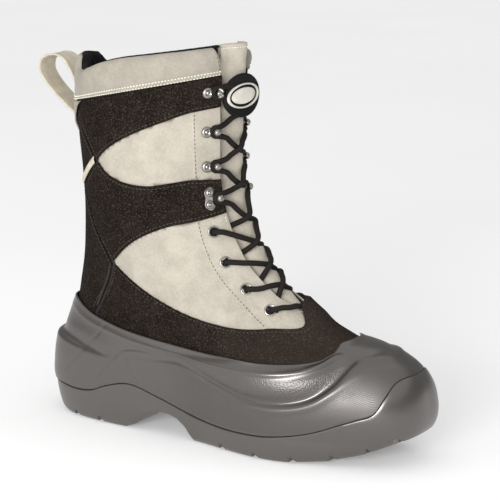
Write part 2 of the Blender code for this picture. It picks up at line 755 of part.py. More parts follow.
def make_guard(group):
    """The suede mudguard, from one piping seam round the toe to the other."""
    rear = ((0.088, 86), (0.100, 93.5), (0.130, 110), (0.168, 130))
    ways = side_columns(0.088, 0.5)
    turns = np.concatenate([ways, 1 - ways[-2::-1]])
    w = way(turns)
    lower = guard_foot(w)
    upper = np.where(w < 0.168, line(rear, w), line(GUARD_HIGH, w))
    between("vamp_guard", turns, lower, np.maximum(upper, lower + 1.5), group, SKIN_GAP + 0.3)


def make_back_strip(skin, group, cutters):
    """Suede up the back, its spread following the seams on either side."""
    grid = []
    for z, spread in BACK_STRIP_EDGE:
        turns = (spread - 0.006) * np.linspace(-1, 1, 9)
        heights = np.full_like(turns, float(z))
        if z == BACK_STRIP_EDGE[0][0]:
            heights = guard_foot(way(turns))
        grid.append(at_height(turns, heights, 0.0))
    cut_from_skin("back_strip", np.stack(grid), skin, group, cutters)


def make_tab(group):
    """The tab under the collar at the back, over the strip."""
    turns = 0.062 * np.linspace(-1, 1, 9)
    foot = 231 + 300 * np.abs(turns) ** 1.2
    head = on_row(turns, 10.95)[:, 2]
    heights = np.stack([foot + (head - foot) * share for share in (0, 0.5, 1)])
    around = np.broadcast_to(turns, heights.shape)
    grid = at_height(around, heights, OVER_SUEDE)
    return sheet("backstay_tab", grid, 0.9, 1, webbing(), group)


def tube(name, points, radius, look, group, resolution=1, as_mesh=False):
    """A round cord through points in millimetres."""
    data = bpy.data.curves.new(name, "CURVE")
    data.dimensions = "3D"
    data.bevel_depth = radius * MM
    data.bevel_resolution = resolution
    data.use_fill_caps = True
    spline = data.splines.new("POLY")
    spline.points.add(len(points) - 1)
    for place, point in zip(spline.points, points):
        place.co = (*(np.asarray(point) * MM), 1)
    made = bpy.data.objects.new(name, data)
    group.objects.link(made)
    if not as_mesh:
        data.materials.append(look)
        return made
    evaluated = made.evaluated_get(bpy.context.evaluated_depsgraph_get())
    mesh = bpy.data.meshes.new_from_object(evaluated)
    bpy.data.objects.remove(made, do_unlink=True)
    work = bmesh.new()
    work.from_mesh(mesh)
    bmesh.ops.remove_doubles(work, verts=work.verts, dist=0.00001)
    bmesh.ops.recalc_face_normals(work, faces=work.faces)
    work.to_mesh(mesh)
    work.free()
    return new_object(name, mesh, look, group)


def make_piping(group):
    """The raised seam between mudguard and back strip."""
    track = ((0.089, 91), (0.102, 100), (0.118, 109), (0.136, 119), (0.156, 130))
    for side in ("lateral", "medial"):
        ways = np.array([w for w, _ in track])
        heights = np.array([z for _, z in track], float)
        turns = ways if side == "lateral" else 1 - ways
        tube("piping_" + side, at_height(turns, heights, 3.4), 0.8, suede(), group)


def make_label(group):
    """A small folded label in the seam behind the ankle, left bare."""
    ways = np.linspace(0.100, 0.158, 5)
    foot = line(MID_BAND_HIGH, ways) + 2.0
    heights = np.stack([foot, foot + 5.0])
    around = np.broadcast_to(ways, heights.shape)
    grid = at_height(around, heights, OVER_SUEDE)
    return sheet("side_label", grid, 0.8, 1, webbing(), group)


def make_loop(group):
    """The pull loop: one strap, out from the tab, over, and back to the collar."""
    rows = [[(x, -LOOP_WIDTH / 2, z), (x, 0, z), (x, LOOP_WIDTH / 2, z)] for x, z in LOOP_PATH]
    return sheet("pull_loop", np.array(rows, float), LOOP_THICKNESS, 0, webbing(), group)


# ------------------------------------------------------------------------------ hardware


def turned(name, profile, steps):
    """A solid turned from a profile of radius and height; a ring if it clears the axis."""
    mesh = bpy.data.meshes.new(name)
    count = len(profile)
    points = [(r * MM, 0, h * MM) for r, h in profile]
    closing = 0 if profile[0][0] > 0 else 1
    mesh.from_pydata(points, [(i, (i + 1) % count) for i in range(count - closing)], [])
    work = bmesh.new()
    work.from_mesh(mesh)
    bmesh.ops.spin(work, geom=work.verts[:] + work.edges[:], axis=(0, 0, 1), cent=(0, 0, 0),
                   angle=2 * math.pi, steps=steps, use_merge=True)
    bmesh.ops.remove_doubles(work, verts=work.verts, dist=0.00001)
    bmesh.ops.recalc_face_normals(work, faces=work.faces)
    work.to_mesh(mesh)
    work.free()
    mesh.shade_smooth()
    mesh.set_sharp_from_angle(angle=math.radians(40))
    return mesh


def eyelet_mesh():
    """A grommet: a barrel through the wall and a flange on its face."""
    profile = ((2.6, -2.6), (3.0, -2.6), (3.0, GAP), (4.7, GAP), (4.2, 1.2), (2.6, 1.2))
    return turned("eyelet", profile, 8)


def solid(maker, matrix, group, **sizes):
    """A primitive as a scratch object, for joining."""
    work = bmesh.new()
    maker(work, **sizes)
    bmesh.ops.transform(work, matrix=matrix, verts=work.verts)
    mesh = bpy.data.meshes.new("scratch")
    work.to_mesh(mesh)
    work.free()
    return new_object("scratch", mesh, None, group)


def stretched(x, y, z, sx, sy, sz):
    place = Matrix.Translation(Vector((x, y, z)) * MM)
    return place @ Matrix.Diagonal((sx * MM, sy * MM, sz * MM, 1))


def hook_mesh(kind, reach, group):
    """A lace hook: a riveted plate, with a ball on a stem at its front end."""
    cone = bmesh.ops.create_cone
    ball = bmesh.ops.create_uvsphere
    round_part = {"segments": 6, "cap_ends": True, "radius1": 1.0, "radius2": 1.0, "depth": 1.0}
    head = {"segments": 6, "cap_ends": True, "radius1": 1.0, "radius2": 0.55, "depth": 1.0}
    pieces = [solid(cone, stretched(reach / 2, 0, 0.6, reach / 2 + 3.0, 3.4, 1.2), group,
                    **round_part)]
    rivets = ((-0.5, 3.6), (-0.5, -3.6)) if kind == "lock" else ((0.0, 0.0),)
    for x, y in rivets:
        pieces.append(solid(cone, stretched(x, y, 1.6, 3.1, 3.1, 2.4), group, **head))
    pieces.append(solid(ball, stretched(reach, 0, 3.4, 2.9, 2.9, 3.0), group,
                        u_segments=6, v_segments=4, radius=1.0))
    return joined(pieces)


def make_hardware(group):
    grommet = eyelet_mesh()
    for name, w, z in EYELETS:
        for side, u in (("lateral", w), ("medial", 1 - w)):
            made = new_object(name + "_" + side, grommet, metal(), group)
            made.matrix_world = frame_at(u, z, EYESTAY_RISE + 0.3 + LIFT[side])
    for name, kind, plate_w, ball_w, z in HOOKS:
        on_suede = kind in ("plate", "lock")
        out = EYESTAY_RISE + (OVER_SUEDE if on_suede else 0.7)
        reach = np.linalg.norm(at_height(ball_w, z) - at_height(plate_w, z))
        mesh = hook_mesh(kind, reach, group)
        for side, u in (("lateral", plate_w), ("medial", 1 - plate_w)):
            made = new_object(name + "_" + side, mesh, metal(), group)
            made.matrix_world = frame_at(u, z, out + LIFT[side])


def strand(name, start, end, group, out=LACE_OUT):
    """One lace strand across the tongue, from (u, z) to (u, z)."""
    shares = np.linspace(0, 1, 5)
    turns = start[0] + (end[0] - start[0]) * shares
    heights = start[1] + (end[1] - start[1]) * shares
    points = at_height(turns, heights, out)
    return tube(name, points, LACE_RADIUS, lace_cord(), group, as_mesh=True)


def make_laces(group):
    for name, w0, z0, w1, z1 in CROSSINGS:
        pair = [strand("scratch", (w0, z0), (1 - w1, z1), group),
                strand("scratch", (1 - w0, z0), (w1, z1), group)]
        new_object(name, joined(pair), lace_cord(), group)
    rise = [strand("scratch", (0.446, 237), (0.503, 244), group),
            strand("scratch", (0.554, 237), (0.497, 244), group)]
    new_object("lace_crossing_1", joined(rise), lace_cord(), group)
    strand("lace_bar", (0.4435, 105.5), (0.5565, 105.5), group, LACE_OUT + 2.4)


def make_badge(group):
    """The oval keeper on the tongue, with a plain raised ring."""
    base = ((0.0, 0.0), (21.0, 0.0), (20.0, 2.6), (18.6, 2.8))
    ring = ((18.2, 3.6), (16.2, 3.6), (15.6, 2.8), (0.0, 2.8))
    mesh = turned("tongue_badge", base + ring, 16)
    mesh.transform(Matrix.Diagonal((0.69, 1, 1, 1)))
    made = new_object("tongue_badge", mesh, black_rubber(), group)
    upright = Matrix(((0, 0, 1), (0, 1, 0), (-1, 0, 0))).to_4x4()
    made.matrix_world = Matrix.Translation(Vector((165.4, 0, 260)) * MM) @ upright
    return made


def stand_on_origin(group):
    """Parent all the pieces to an empty, so that the box's bottom centre is the origin."""
    depsgraph = bpy.context.evaluated_depsgraph_get()
    depsgraph.update()
    low = Vector((1e9, 1e9, 1e9))
    high = -low
    for made in group.objects:
        ready = made.evaluated_get(depsgraph)
        mesh = ready.to_mesh()
        for vertex in mesh.vertices:
            place = ready.matrix_world @ vertex.co
            low = Vector(map(min, low, place))
            high = Vector(map(max, high, place))
        ready.to_mesh_clear()
    anchor = bpy.data.objects.new("boot_origin", None)
    anchor.location = (-(low.x + high.x) / 2, -(low.y + high.y) / 2, -low.z)
    pieces = list(group.objects)
    group.objects.link(anchor)
    for made in pieces:
        made.parent = anchor


def main():
    clear_scene()
    boot = collection("winter_pac_boot")
    cutters = collection("cutters")
    make_shell(boot)
    make_outsole(boot, cutters)
    make_insole(boot)
    make_upper(boot, cutters)
    make_tongue(boot)
    make_collar(boot)
    skin = make_skin(cutters)
    make_bands(boot)
    make_guard(boot)
    make_back_strip(skin, boot, cutters)
    make_tab(boot)
    make_piping(boot)
    make_label(boot)
    make_loop(boot)
    make_hardware(boot)
    make_laces(boot)
    make_badge(boot)
    stand_on_origin(boot)
    for tool in cutters.objects:
        tool.parent = bpy.data.objects["boot_origin"]


main()
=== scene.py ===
"""Looks of a laced winter pac boot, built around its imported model.

The file is laid out as an add-on and run as a script. Places on the boot are given on its
last: u runs once round it (0 at the back, 0.25 on the lateral side, 0.5 at the front and
0.75 on the medial side) and z is the height in millimetres. "way" is the distance from the
back to the front on either side, from 0 to 0.5. Soft pieces are cut as flat patterns in
millimetres, given their thickness and rounded edges, and then laid on the last.
"""
import json
import math

import bpy
import numpy as np
from bpy.props import FloatProperty, FloatVectorProperty, PointerProperty
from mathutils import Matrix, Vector


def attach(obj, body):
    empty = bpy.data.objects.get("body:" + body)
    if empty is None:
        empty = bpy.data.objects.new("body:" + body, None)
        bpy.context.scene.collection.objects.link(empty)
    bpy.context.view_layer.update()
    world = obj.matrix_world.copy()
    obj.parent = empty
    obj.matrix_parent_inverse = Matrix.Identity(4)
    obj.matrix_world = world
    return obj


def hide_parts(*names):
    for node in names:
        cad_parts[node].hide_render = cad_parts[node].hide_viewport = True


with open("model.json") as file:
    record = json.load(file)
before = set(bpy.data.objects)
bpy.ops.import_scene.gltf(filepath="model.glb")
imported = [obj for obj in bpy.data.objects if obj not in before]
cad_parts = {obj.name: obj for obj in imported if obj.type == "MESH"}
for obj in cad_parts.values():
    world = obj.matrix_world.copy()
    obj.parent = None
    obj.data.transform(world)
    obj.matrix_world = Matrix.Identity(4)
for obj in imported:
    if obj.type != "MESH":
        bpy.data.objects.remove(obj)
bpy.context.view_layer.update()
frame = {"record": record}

bl_info = {
    "name": "Winter Pac Boot",
    "version": (1, 0, 0),
    "blender": (4, 5, 0),
    "location": "View3D > Sidebar > Boot",
    "description": "Dresses a laced winter pac boot in rubber, suede, canvas and cord",
    "category": "Object",
}

MM = 0.001
SIDES = ("lateral", "medial")
HEEL_REST_X = 64.0  # the heel's resting point, measured from the back of the last
MOUNTS = {mount["name"]: mount for mount in frame["record"]["mounts"]}
LAST_BACK = MOUNTS["heel_rest"]["pos_m"][0] / MM - HEEL_REST_X

# ------------------------------------------------------------------------------ the last

LAST_COLUMNS = ("back_x", "back_z", "front_x", "front_z", "heel", "waist",
                "ball_out", "ball_in", "toe_out", "toe_in", "roundness")
LAST = (
    ("feather", 13, 26, 302, 18, 34, 35, 48, 45, 39, 39, 3.4),
    ("low", 10, 45, 308, 40, 36, 39, 51.5, 48.5, 42, 42, 3.2),
    ("toe_box", 11, 60, 304, 58, 37, 42, 52, 49, 39, 39, 2.9),
    ("toe_top", 15, 75, 287, 73, 37, 44, 50, 47, 35, 34, 2.6),
    ("vamp", 20, 90, 258, 85, 38, 45, 48, 45, 33, 28, 2.4),
    ("waist", 24, 108, 233, 97, 40, 48, 46, 43, 34, 21, 2.3),
    ("instep", 28, 128, 211, 114, 43, 50, 47, 42, 38, 18, 2.2),
    ("throat", 31, 150, 188, 138, 47, 53, 50, 45, 44, 20, 2.15),
    ("ankle", 33, 175, 172, 167, 51, 56, 54, 50, 51, 26, 2.1),
    ("shin", 33, 200, 164, 198, 54, 57.5, 56.5, 53.5, 54, 32, 2.1),
    ("calf", 31, 225, 163.5, 236, 56, 58.5, 58, 55, 56, 34, 2.1),
    ("collar_seam", 30, 247, 166, 276, 57, 59, 58.5, 55.5, 57, 35, 2.1),
    ("collar_rim", 29, 280, 168, 296, 58, 60, 59.5, 56.5, 58, 36, 2.1),
)
WIDTH_STATIONS = (0.0, 0.15, 0.42, 0.70, 0.90, 1.0)
TOE_BEND = 7.0
COLLAR_SEAM_ROW = 11
EYESTAY_RISE = 0.8
THROAT_FOOT_ROW = 5.4
THROAT_EDGE = 0.44
THROAT = ((THROAT_FOOT_ROW, 0.5), (5.53, 0.477), (5.95, 0.458), (6.8, 0.446),
          (7.6, 0.441), (8.6, THROAT_EDGE), (11.0, THROAT_EDGE))

# How far the moulded lower stands out from the last: a row for each height, a column for
# each station on the way from the back to the toe.
BODY_STATIONS = (0.0, 0.08, 0.17, 0.24, 0.33, 0.41, 0.46, 0.50)
BODY_HEIGHTS = (0, 14, 30, 45, 60, 75, 92)
BODY_OUT = (
    (6.0, 4.0, 3.0, 2.0, 2.0, 1.0, -2.0, -4.0),
    (10.0, 7.0, 5.5, 5.0, 5.5, 6.5, 6.5, 5.0),
    (12.5, 7.5, 6.0, 6.0, 6.5, 8.5, 10.0, 10.5),
    (9.5, 7.0, 6.0, 6.0, 6.5, 8.5, 9.5, 9.0),
    (8.0, 6.0, 5.5, 6.0, 6.5, 8.0, 9.0, 9.5),
    (5.0, 5.0, 5.0, 5.0, 5.5, 7.0, 8.0, 8.4),
    (5.0, 4.5, 4.5, 4.5, 5.0, 5.0, 4.0, 4.0),
)
SHELL_LINE_COLUMNS = ("way", "topline", "lip", "valley", "parting")
SHELL_LINES = (
    (0.00, 92.5, 85.0, 65.0, 27.5),
    (0.04, 92.0, 84.0, 62.5, 25.0),
    (0.06, 88.5, 80.5, 61.0, 23.8),
    (0.085, 84.3, 77.0, 58.5, 25.8),
    (0.105, 82.2, 75.2, 57.0, 31.5),
    (0.14, 79.3, 72.5, 58.5, 37.4),
    (0.18, 77.6, 71.0, 62.0, 30.8),
    (0.22, 76.2, 69.6, 63.5, 22.6),
    (0.26, 75.0, 68.2, 54.7, 18.8),
    (0.30, 73.9, 66.8, 47.0, 18.3),
    (0.34, 71.7, 64.8, 46.0, 20.2),
    (0.375, 71.4, 65.9, 50.2, 26.0),
    (0.405, 73.2, 69.9, 59.6, 35.0),
    (0.425, 76.0, 73.6, 66.6, 39.2),
    (0.442, 78.6, 76.2, 71.6, 43.0),
    (0.455, 81.0, 78.4, 74.3, 52.0),
    (0.47, 83.5, 80.7, 75.6, 59.4),
    (0.50, 84.6, 81.2, 75.4, 61.3),
)
FOOTBED = ((10, 28), (80, 29), (125, 30.5), (150, 25.5), (170, 23), (220, 19.5), (262, 19.5),
           (286, 26.5), (300, 33))
GROUND = (
    (-30, 18), (0, 8), (10, 4.5), (18, 0.5), (22, 0), (80, 0), (89, 3.5), (98, 9.5),
    (108, 15.5), (114, 17.5), (122, 17.5), (130, 15), (138, 9), (144, 0), (228, 0),
    (257, 3), (281, 9.5), (310, 21.5), (318, 27), (340, 42),
)
NOTCHES = (32, 57, 173, 204, 233, 261, 286, 306)
CHANNELS = ((158, 250, -17), (158, 250, 19), (14, 80, 0))

# Seams, as ways round the boot and heights.
TOP_BAND_LOW = ((0.082, 247), (0.114, 236), (0.15, 223), (0.182, 210), (0.20, 215.5),
                (0.221, 221), (0.268, 231), (0.328, 241), (0.383, 248.5), (0.44, 252))
MID_BAND_HIGH = ((0.082, 182.5), (0.12, 191.5), (0.184, 208), (0.201, 202.5), (0.227, 198),
                 (0.261, 195), (0.302, 194.5), (0.342, 197), (0.38, 199), (0.44, 198.5))
MID_BAND_LOW = ((0.082, 177), (0.112, 174), (0.127, 160), (0.168, 133), (0.188, 138),
                (0.209, 143.5), (0.242, 151.5), (0.282, 159), (0.326, 165), (0.38, 169),
                (0.44, 174))
GUARD_HIGH = ((0.088, 86), (0.100, 93.5), (0.130, 110), (0.168, 130), (0.193, 122.5),
              (0.227, 113), (0.258, 105.5), (0.286, 100), (0.321, 95.5), (0.354, 93),
              (0.40, 93), (0.45, 94), (0.462, 96.5), (0.472, 101), (0.482, 106.5),
              (0.50, 109.5))
TOP_CORNER, MID_CORNER, LOW_CORNER = 0.182, 0.184, 0.168  # ways at which they turn a corner

# Ways or turns between which the suede pieces reach round the boot.
TOP_BAND_ENDS = (0.084, THROAT_EDGE)
MID_BAND_ENDS = (0.083, THROAT_EDGE)
GUARD_ENDS = (0.0885, 0.9115)

# The back strip's edge, as heights and turns from the back; the eyestay's, as heights and
# ways; and the piping's line, as ways and heights.
BACK_STRIP_EDGE = ((72, 0.070), (84, 0.078), (96, 0.096), (110, 0.125), (130, 0.160),
                   (142, 0.148), (160, 0.120), (174, 0.105), (178.5, 0.075), (183, 0.075),
                   (193, 0.118), (208, 0.178), (222, 0.146), (236, 0.110), (252, 0.068))
EYESTAY_SEAM = ((80, 0.391), (107, 0.390), (126, 0.380), (148, 0.378), (168, 0.379),
                (200, 0.388), (222, 0.388), (249, 0.386), (290, 0.386))
PIPING = ((0.089, 91), (0.102, 100), (0.118, 109), (0.136, 119), (0.156, 130))

# Creases of the canvas: way and height of both ends, depth and width in millimetres.
CREASES = (
    (0.345, 230, 0.388, 231, 0.45, 1.6), (0.340, 200.5, 0.392, 199.5, 0.5, 1.8),
    (0.262, 112, 0.335, 115.5, 0.55, 1.7), (0.390, 104, 0.424, 108, 0.7, 1.6),
    (0.398, 112, 0.420, 113, 0.5, 1.4), (0.432, 99, 0.448, 104, 0.9, 1.5),
    (0.418, 96, 0.436, 97, 0.7, 1.4), (0.420, 146, 0.440, 142, 0.7, 1.7),
    (0.388, 131, 0.402, 137, 0.5, 1.7), (0.394, 157, 0.380, 150, 0.4, 2.0),
    (0.416, 130, 0.436, 128, 0.6, 1.6), (0.300, 236, 0.372, 243, 0.35, 2.0),
    (0.215, 150, 0.260, 146, 0.35, 2.2), (0.250, 206, 0.205, 211, 0.3, 2.0),
)

# Lines engraved in the moulded lower: way and height of their points.
ENGRAVED = (
    ((0.205, 64.5), (0.169, 66), (0.140, 64), (0.125, 58), (0.111, 48), (0.096, 37)),
    ((0.140, 60), (0.147, 48), (0.154, 38)),
    ((0.108, 80), (0.081, 61), (0.050, 38)),
)

# Lace fastenings from the top down, each with the way of its plate and ball and its height.
HOOKS = (
    ("hook_1", "plate", 0.412, 0.431, 263),
    ("hook_2", "ball", 0.413, 0.431, 234),
    ("hook_3", "ball", 0.413, 0.431, 208.5),
    ("hook_4", "lock", 0.412, 0.430, 185),
)
EYELETS = (("eyelet_1", 0.406, 161), ("eyelet_2", 0.407, 139),
           ("eyelet_3", 0.415, 120), ("eyelet_4", 0.429, 105.5))

# Way and height at which the laces from the upper three eyelets go under the far flap.
EYELET_RUNS = (("lace_crossing_5", 0.441, 144.5), ("lace_crossing_6", 0.449, 125.5),
               ("lace_crossing_7", 0.457, 113))
LACE_OUT = 3.6      # how far out a lace lies on a flap
LACE_UNDER = -1.8   # and under one
LACE_SIDES = 14     # corners of a lace's round section
LACE_SPACING = 1.3  # distance from one of its sections to the next

# Turn and height of each crossing, and the height of its upper lace on the tongue's ridge.
CROSSED = {"hook_1": (0.485, 246, 250), "hook_2": (0.480, 220.5, 227),
           "hook_3": (0.481, 193.5, 204), "hook_4": (0.482, 169, 185),
           "lace_crossing_5": (0.481, 151, 164), "lace_crossing_6": (0.484, 134.5, 143.5),
           "lace_crossing_7": (0.480, 121, 128.5)}

OVERLAY_GAP = 0.12  # how far a suede overlay lies off the canvas
OVER_SUEDE = 2.2    # how far out a trim lies on the suede
STITCH_INSET = 2.3  # how far inside an edge of the suede its stitches run

# The pull loop's centre line behind the collar, and the collar's section as distances out
# and shares of its height.
LOOP_PATH = ((26.4, 224), (25.6, 230), (17, 237), (3.5, 247.5), (-8, 258.5), (-13, 267),
             (-11.5, 274.5), (-5, 278.5), (3, 279), (10, 276), (15, 269.5), (19, 263),
             (22.2, 257), (22.4, 252))
COLLAR_SECTION = ((1.5, 0.03), (3.6, 0.02), (4.5, 0.08), (4.2, 0.15), (5.2, 0.28),
                  (5.8, 0.48), (5.5, 0.68), (4.2, 0.88), (1.9, 0.99), (-0.6, 1.0),
                  (-3.2, 0.97), (-4.6, 0.80), (-4.9, 0.45), (-3.6, 0.08))
TONGUE_ROWS = (5.0, 12.0)
TONGUE_HEM_ROW = 11.86
TONGUE_HALF = 0.056  # half its width at the top, as a turn
TONGUE_PUCKERS = (174, 197, 221, 246)  # heights at which the upper laces press on it

CUFF_LIFT = 0.35    # height of the cuff over its seam
CUFF_SPAN = 2 * THROAT_EDGE
CUFF_END = 0.006    # the turn over which an end of the cuff closes
CUFF_TAPER = 0.036  # how much the cuff's front ends draw back towards its crest

# How much higher or lower the cuff's crest is than its row, at ways from the back.
CREST_LATERAL = ((0, 1.3), (0.03, 2.5), (0.06, 2.5), (0.085, 0.5), (0.105, -8), (0.13, -9.5),
                 (0.17, -6.8), (0.21, -3.4), (0.25, -1.5), (0.31, -0.8), (0.45, 0))
CREST_MEDIAL = ((0, 1.3), (0.02, -4.5), (0.04, -9), (0.07, -8.3), (0.11, -10.8), (0.16, -10.3),
                (0.20, -8.2), (0.24, -6.5), (0.31, -5.8), (0.45, -5))


def smooth(x, xs, ys):
    """A cubic through the rows of ys, read at x; each x may have a column of its own."""
    x = np.asarray(x, float)
    xs = np.asarray(xs, float)
    ys = np.asarray(ys, float)
    flat = np.clip(x.ravel(), xs[0], xs[-1])
    if ys.ndim == 1:
        ys = ys[:, None]
    slopes = np.diff(ys, axis=0) / np.diff(xs)[:, None]
    tangents = np.concatenate([slopes[:1], (slopes[:-1] + slopes[1:]) / 2, slopes[-1:]])
    i = np.clip(np.searchsorted(xs, flat) - 1, 0, len(xs) - 2)
    column = np.arange(flat.size) if ys.shape[1] > 1 else np.zeros(flat.size, int)
    span = xs[i + 1] - xs[i]
    f = (flat - xs[i]) / span
    value = ((2 * f**3 - 3 * f**2 + 1) * ys[i, column]
             + (f**3 - 2 * f**2 + f) * span * tangents[i, column]
             + (3 * f**2 - 2 * f**3) * ys[i + 1, column]
             + (f**3 - f**2) * span * tangents[i + 1, column])
    return value.reshape(x.shape)


def step(x, low, high):
    """0 below low, 1 above high, and a soft slope between them."""
    f = np.clip((np.asarray(x, float) - low) / (high - low), 0, 1)
    return f * f * (3 - 2 * f)


def bump(x, width):
    """A soft ridge of height 1 at 0."""
    return np.exp(-(np.asarray(x, float) / width) ** 2)


def read(table, x):
    """A smooth line through the rows of a table, read at x."""
    rows = np.array(table, float)
    return smooth(x, rows[:, 0], rows[:, 1])


def line(table, x):
    """Straight lines through the rows of a table, read at x."""
    rows = np.array(table, float)
    return np.interp(x, rows[:, 0], rows[:, 1])


def seam(table, x, corner):
    """A seam through the rows of a table, smooth on either side of its corner."""
    rows = np.array(table, float)
    x = np.asarray(x, float)
    turn = int(np.argmin(np.abs(rows[:, 0] - corner)))
    before = smooth(x, rows[:turn + 1, 0], rows[:turn + 1, 1])
    after = smooth(x, rows[turn:, 0], rows[turn:, 1])
    return np.where(x < rows[turn, 0], before, after)


def top_band_low(w):
    return seam(TOP_BAND_LOW, w, TOP_CORNER)


def mid_band_high(w):
    return seam(MID_BAND_HIGH, w, MID_CORNER)


def mid_band_low(w):
    return seam(MID_BAND_LOW, w, LOW_CORNER)


def guard_high(w):
    return seam(GUARD_HIGH, w, LOW_CORNER)


def summed(steps):
    """How far each point is along a line, from the steps between them."""
    return np.concatenate([[0], np.cumsum(steps)])


def last_loop(v, turns):
    """Points of the last's loop at row v, spaced evenly along each side."""
    table = np.array([row[1:] for row in LAST], float)
    rows = np.arange(len(LAST), dtype=float)
    row = dict(zip(LAST_COLUMNS, (float(smooth(v, rows, column)) for column in table.T)))
    angle = np.linspace(0, math.pi, 361)
    power = 2 / row["roundness"]
    along = (1 - np.sign(np.cos(angle)) * np.abs(np.cos(angle)) ** power) / 2
    bulge = np.abs(np.sin(angle)) ** power
    bend = TOE_BEND * np.clip((along - 0.5) / 0.5, 0, 1) ** 2 * max(1 - v / 6, 0)
    points = np.zeros((len(turns), 3))
    for side, name in ((-1, "_out"), (1, "_in")):
        ball, toe = row["ball" + name], row["toe" + name]
        widths = (row["heel"], row["heel"], row["waist"], ball, toe, toe)
        half = np.stack([
            row["back_x"] + (row["front_x"] - row["back_x"]) * along,
            side * smooth(along, WIDTH_STATIONS, widths) * bulge + bend,
            row["back_z"] + (row["front_z"] - row["back_z"]) * along], -1)
        steps = np.linalg.norm(np.diff(half, axis=0), axis=1)
        run = summed(steps) / steps.sum() / 2
        mine = turns <= 0.5 if side < 0 else turns > 0.5
        way_there = turns[mine] if side < 0 else 1 - turns[mine]
        points[mine] = np.stack([np.interp(way_there, run, half[:, k]) for k in range(3)], -1)
    return points


U_CELLS = 1080
V_CELLS = 360
CHART_V = np.linspace(0, len(LAST) - 1, V_CELLS + 1)
CHART = np.stack([last_loop(v, np.linspace(0, 1, U_CELLS + 1)) for v in CHART_V])


def chart_normals():
    around = np.roll(CHART[:, :-1], -3, axis=1) - np.roll(CHART[:, :-1], 3, axis=1)
    across = np.gradient(CHART[:, :-1], axis=0)
    normal = np.cross(around, across)
    normal = np.concatenate([normal, normal[:, :1]], axis=1)
    return normal / np.linalg.norm(normal, axis=2, keepdims=True)


NORMALS = chart_normals()


def read_chart(grid, u, v):
    """Read a charted grid between its cells at turn u and row v."""
    column = np.mod(u, 1.0) * U_CELLS
    row = np.clip(v, 0, len(LAST) - 1) * V_CELLS / (len(LAST) - 1)
    c = np.minimum(column.astype(int), U_CELLS - 1)
    r = np.minimum(row.astype(int), V_CELLS - 1)
    fc = (column - c)[..., None]
    fr = (row - r)[..., None]
    low = grid[r, c] * (1 - fc) + grid[r, c + 1] * fc
    high = grid[r + 1, c] * (1 - fc) + grid[r + 1, c + 1] * fc
    return low * (1 - fr) + high * fr


def unit(vectors):
    return vectors / np.linalg.norm(vectors, axis=-1, keepdims=True)


def on_row(u, v, out=0.0):
    """Points on the last at turns u and rows v, moved out along its normal."""
    u, v, out = np.broadcast_arrays(*(np.asarray(a, float) for a in (u, v, out)))
    return read_chart(CHART, u, v) + unit(read_chart(NORMALS, u, v)) * out[..., None]


def row_at(u, z):
    """The row of the last that has height z at turn u."""
    u, z = np.broadcast_arrays(np.asarray(u, float), np.asarray(z, float))
    place = np.mod(u.ravel(), 1.0) * U_CELLS
    left = np.minimum(place.astype(int), U_CELLS - 1)
    share = place - left
    rows = np.zeros(place.size)
    for column, weight in ((left, 1 - share), (left + 1, share)):
        heights = CHART[:, column, 2]
        r = np.clip((heights < z.ravel()).sum(axis=0) - 1, 0, V_CELLS - 1)
        n = np.arange(place.size)
        f = (z.ravel() - heights[r, n]) / (heights[r + 1, n] - heights[r, n])
        rows += weight * (r + np.clip(f, 0, 1))
    return (rows * (len(LAST) - 1) / V_CELLS).reshape(u.shape)


def at_height(u, z, out=0.0):
    """Points beside the last at height z; below its lowest row they go straight down."""
    u, z, out = np.broadcast_arrays(*(np.asarray(a, float) for a in (u, z, out)))
    v = row_at(u, z)
    points = on_row(u, v)
    normal = on_row(u, v, 1.0) - points
    level = unit(normal * (1, 1, 0))
    above_foot = z - on_row(u, 0.0)[..., 2]
    tilt = np.clip(above_foot / 15, 0, 1)[..., None]
    points[..., 2] += np.minimum(above_foot, 0)
    return points + unit(level * (1 - tilt) + normal * tilt) * out[..., None]


def way(u):
    """How far a turn is from the back, on either side."""
    return 0.5 - np.abs(np.mod(u, 1.0) - 0.5)


def body_out(u, z):
    """How far the moulded lower stands out at turn u and height z."""
    u, z = np.broadcast_arrays(np.asarray(u, float), np.asarray(z, float))
    levels = np.stack([smooth(way(u), BODY_STATIONS, row).ravel() for row in BODY_OUT])
    return smooth(z.ravel(), BODY_HEIGHTS, levels).reshape(z.shape)


def shell_line(u, name):
    rows = np.array(SHELL_LINES, float)
    return smooth(way(u), rows[:, 0], rows[:, SHELL_LINE_COLUMNS.index(name)])


def throat_edge(v):
    """The way at which the canvas ends beside the throat at row v."""
    rows = np.array(THROAT, float)
    return np.where(np.asarray(v) >= THROAT_FOOT_ROW, np.interp(v, rows[:, 0], rows[:, 1]), 0.5)


def window(u, z):
    """Millimetres inside the canvas that the suede leaves bare; below 0 under the suede."""
    w = way(u)
    upper = np.minimum(z - mid_band_high(w), top_band_low(w) - z)
    lower = np.minimum(z - guard_high(w), mid_band_low(w) - z)
    upper = np.where(w > 0.183, upper, -5.0)
    lower = np.where(w > LOW_CORNER, lower, -5.0)
    return np.maximum(upper, lower)


def canvas_out(u, z):
    """How far the canvas stands out: the eyestay lies over the side panels."""
    past = way(u) - read(EYESTAY_SEAM, z)
    return EYESTAY_RISE * step(past, -0.0005, 0.0012) * np.clip((z - 84) / 8, 0, 1)


def nearest(points, start, end):
    """Distances from points to a straight stretch, and the share along it of the nearest."""
    along = end - start
    share = np.clip(((points - start) @ along) / (along @ along), 0, 1)
    return np.linalg.norm(points - start - share[..., None] * along, axis=-1), share


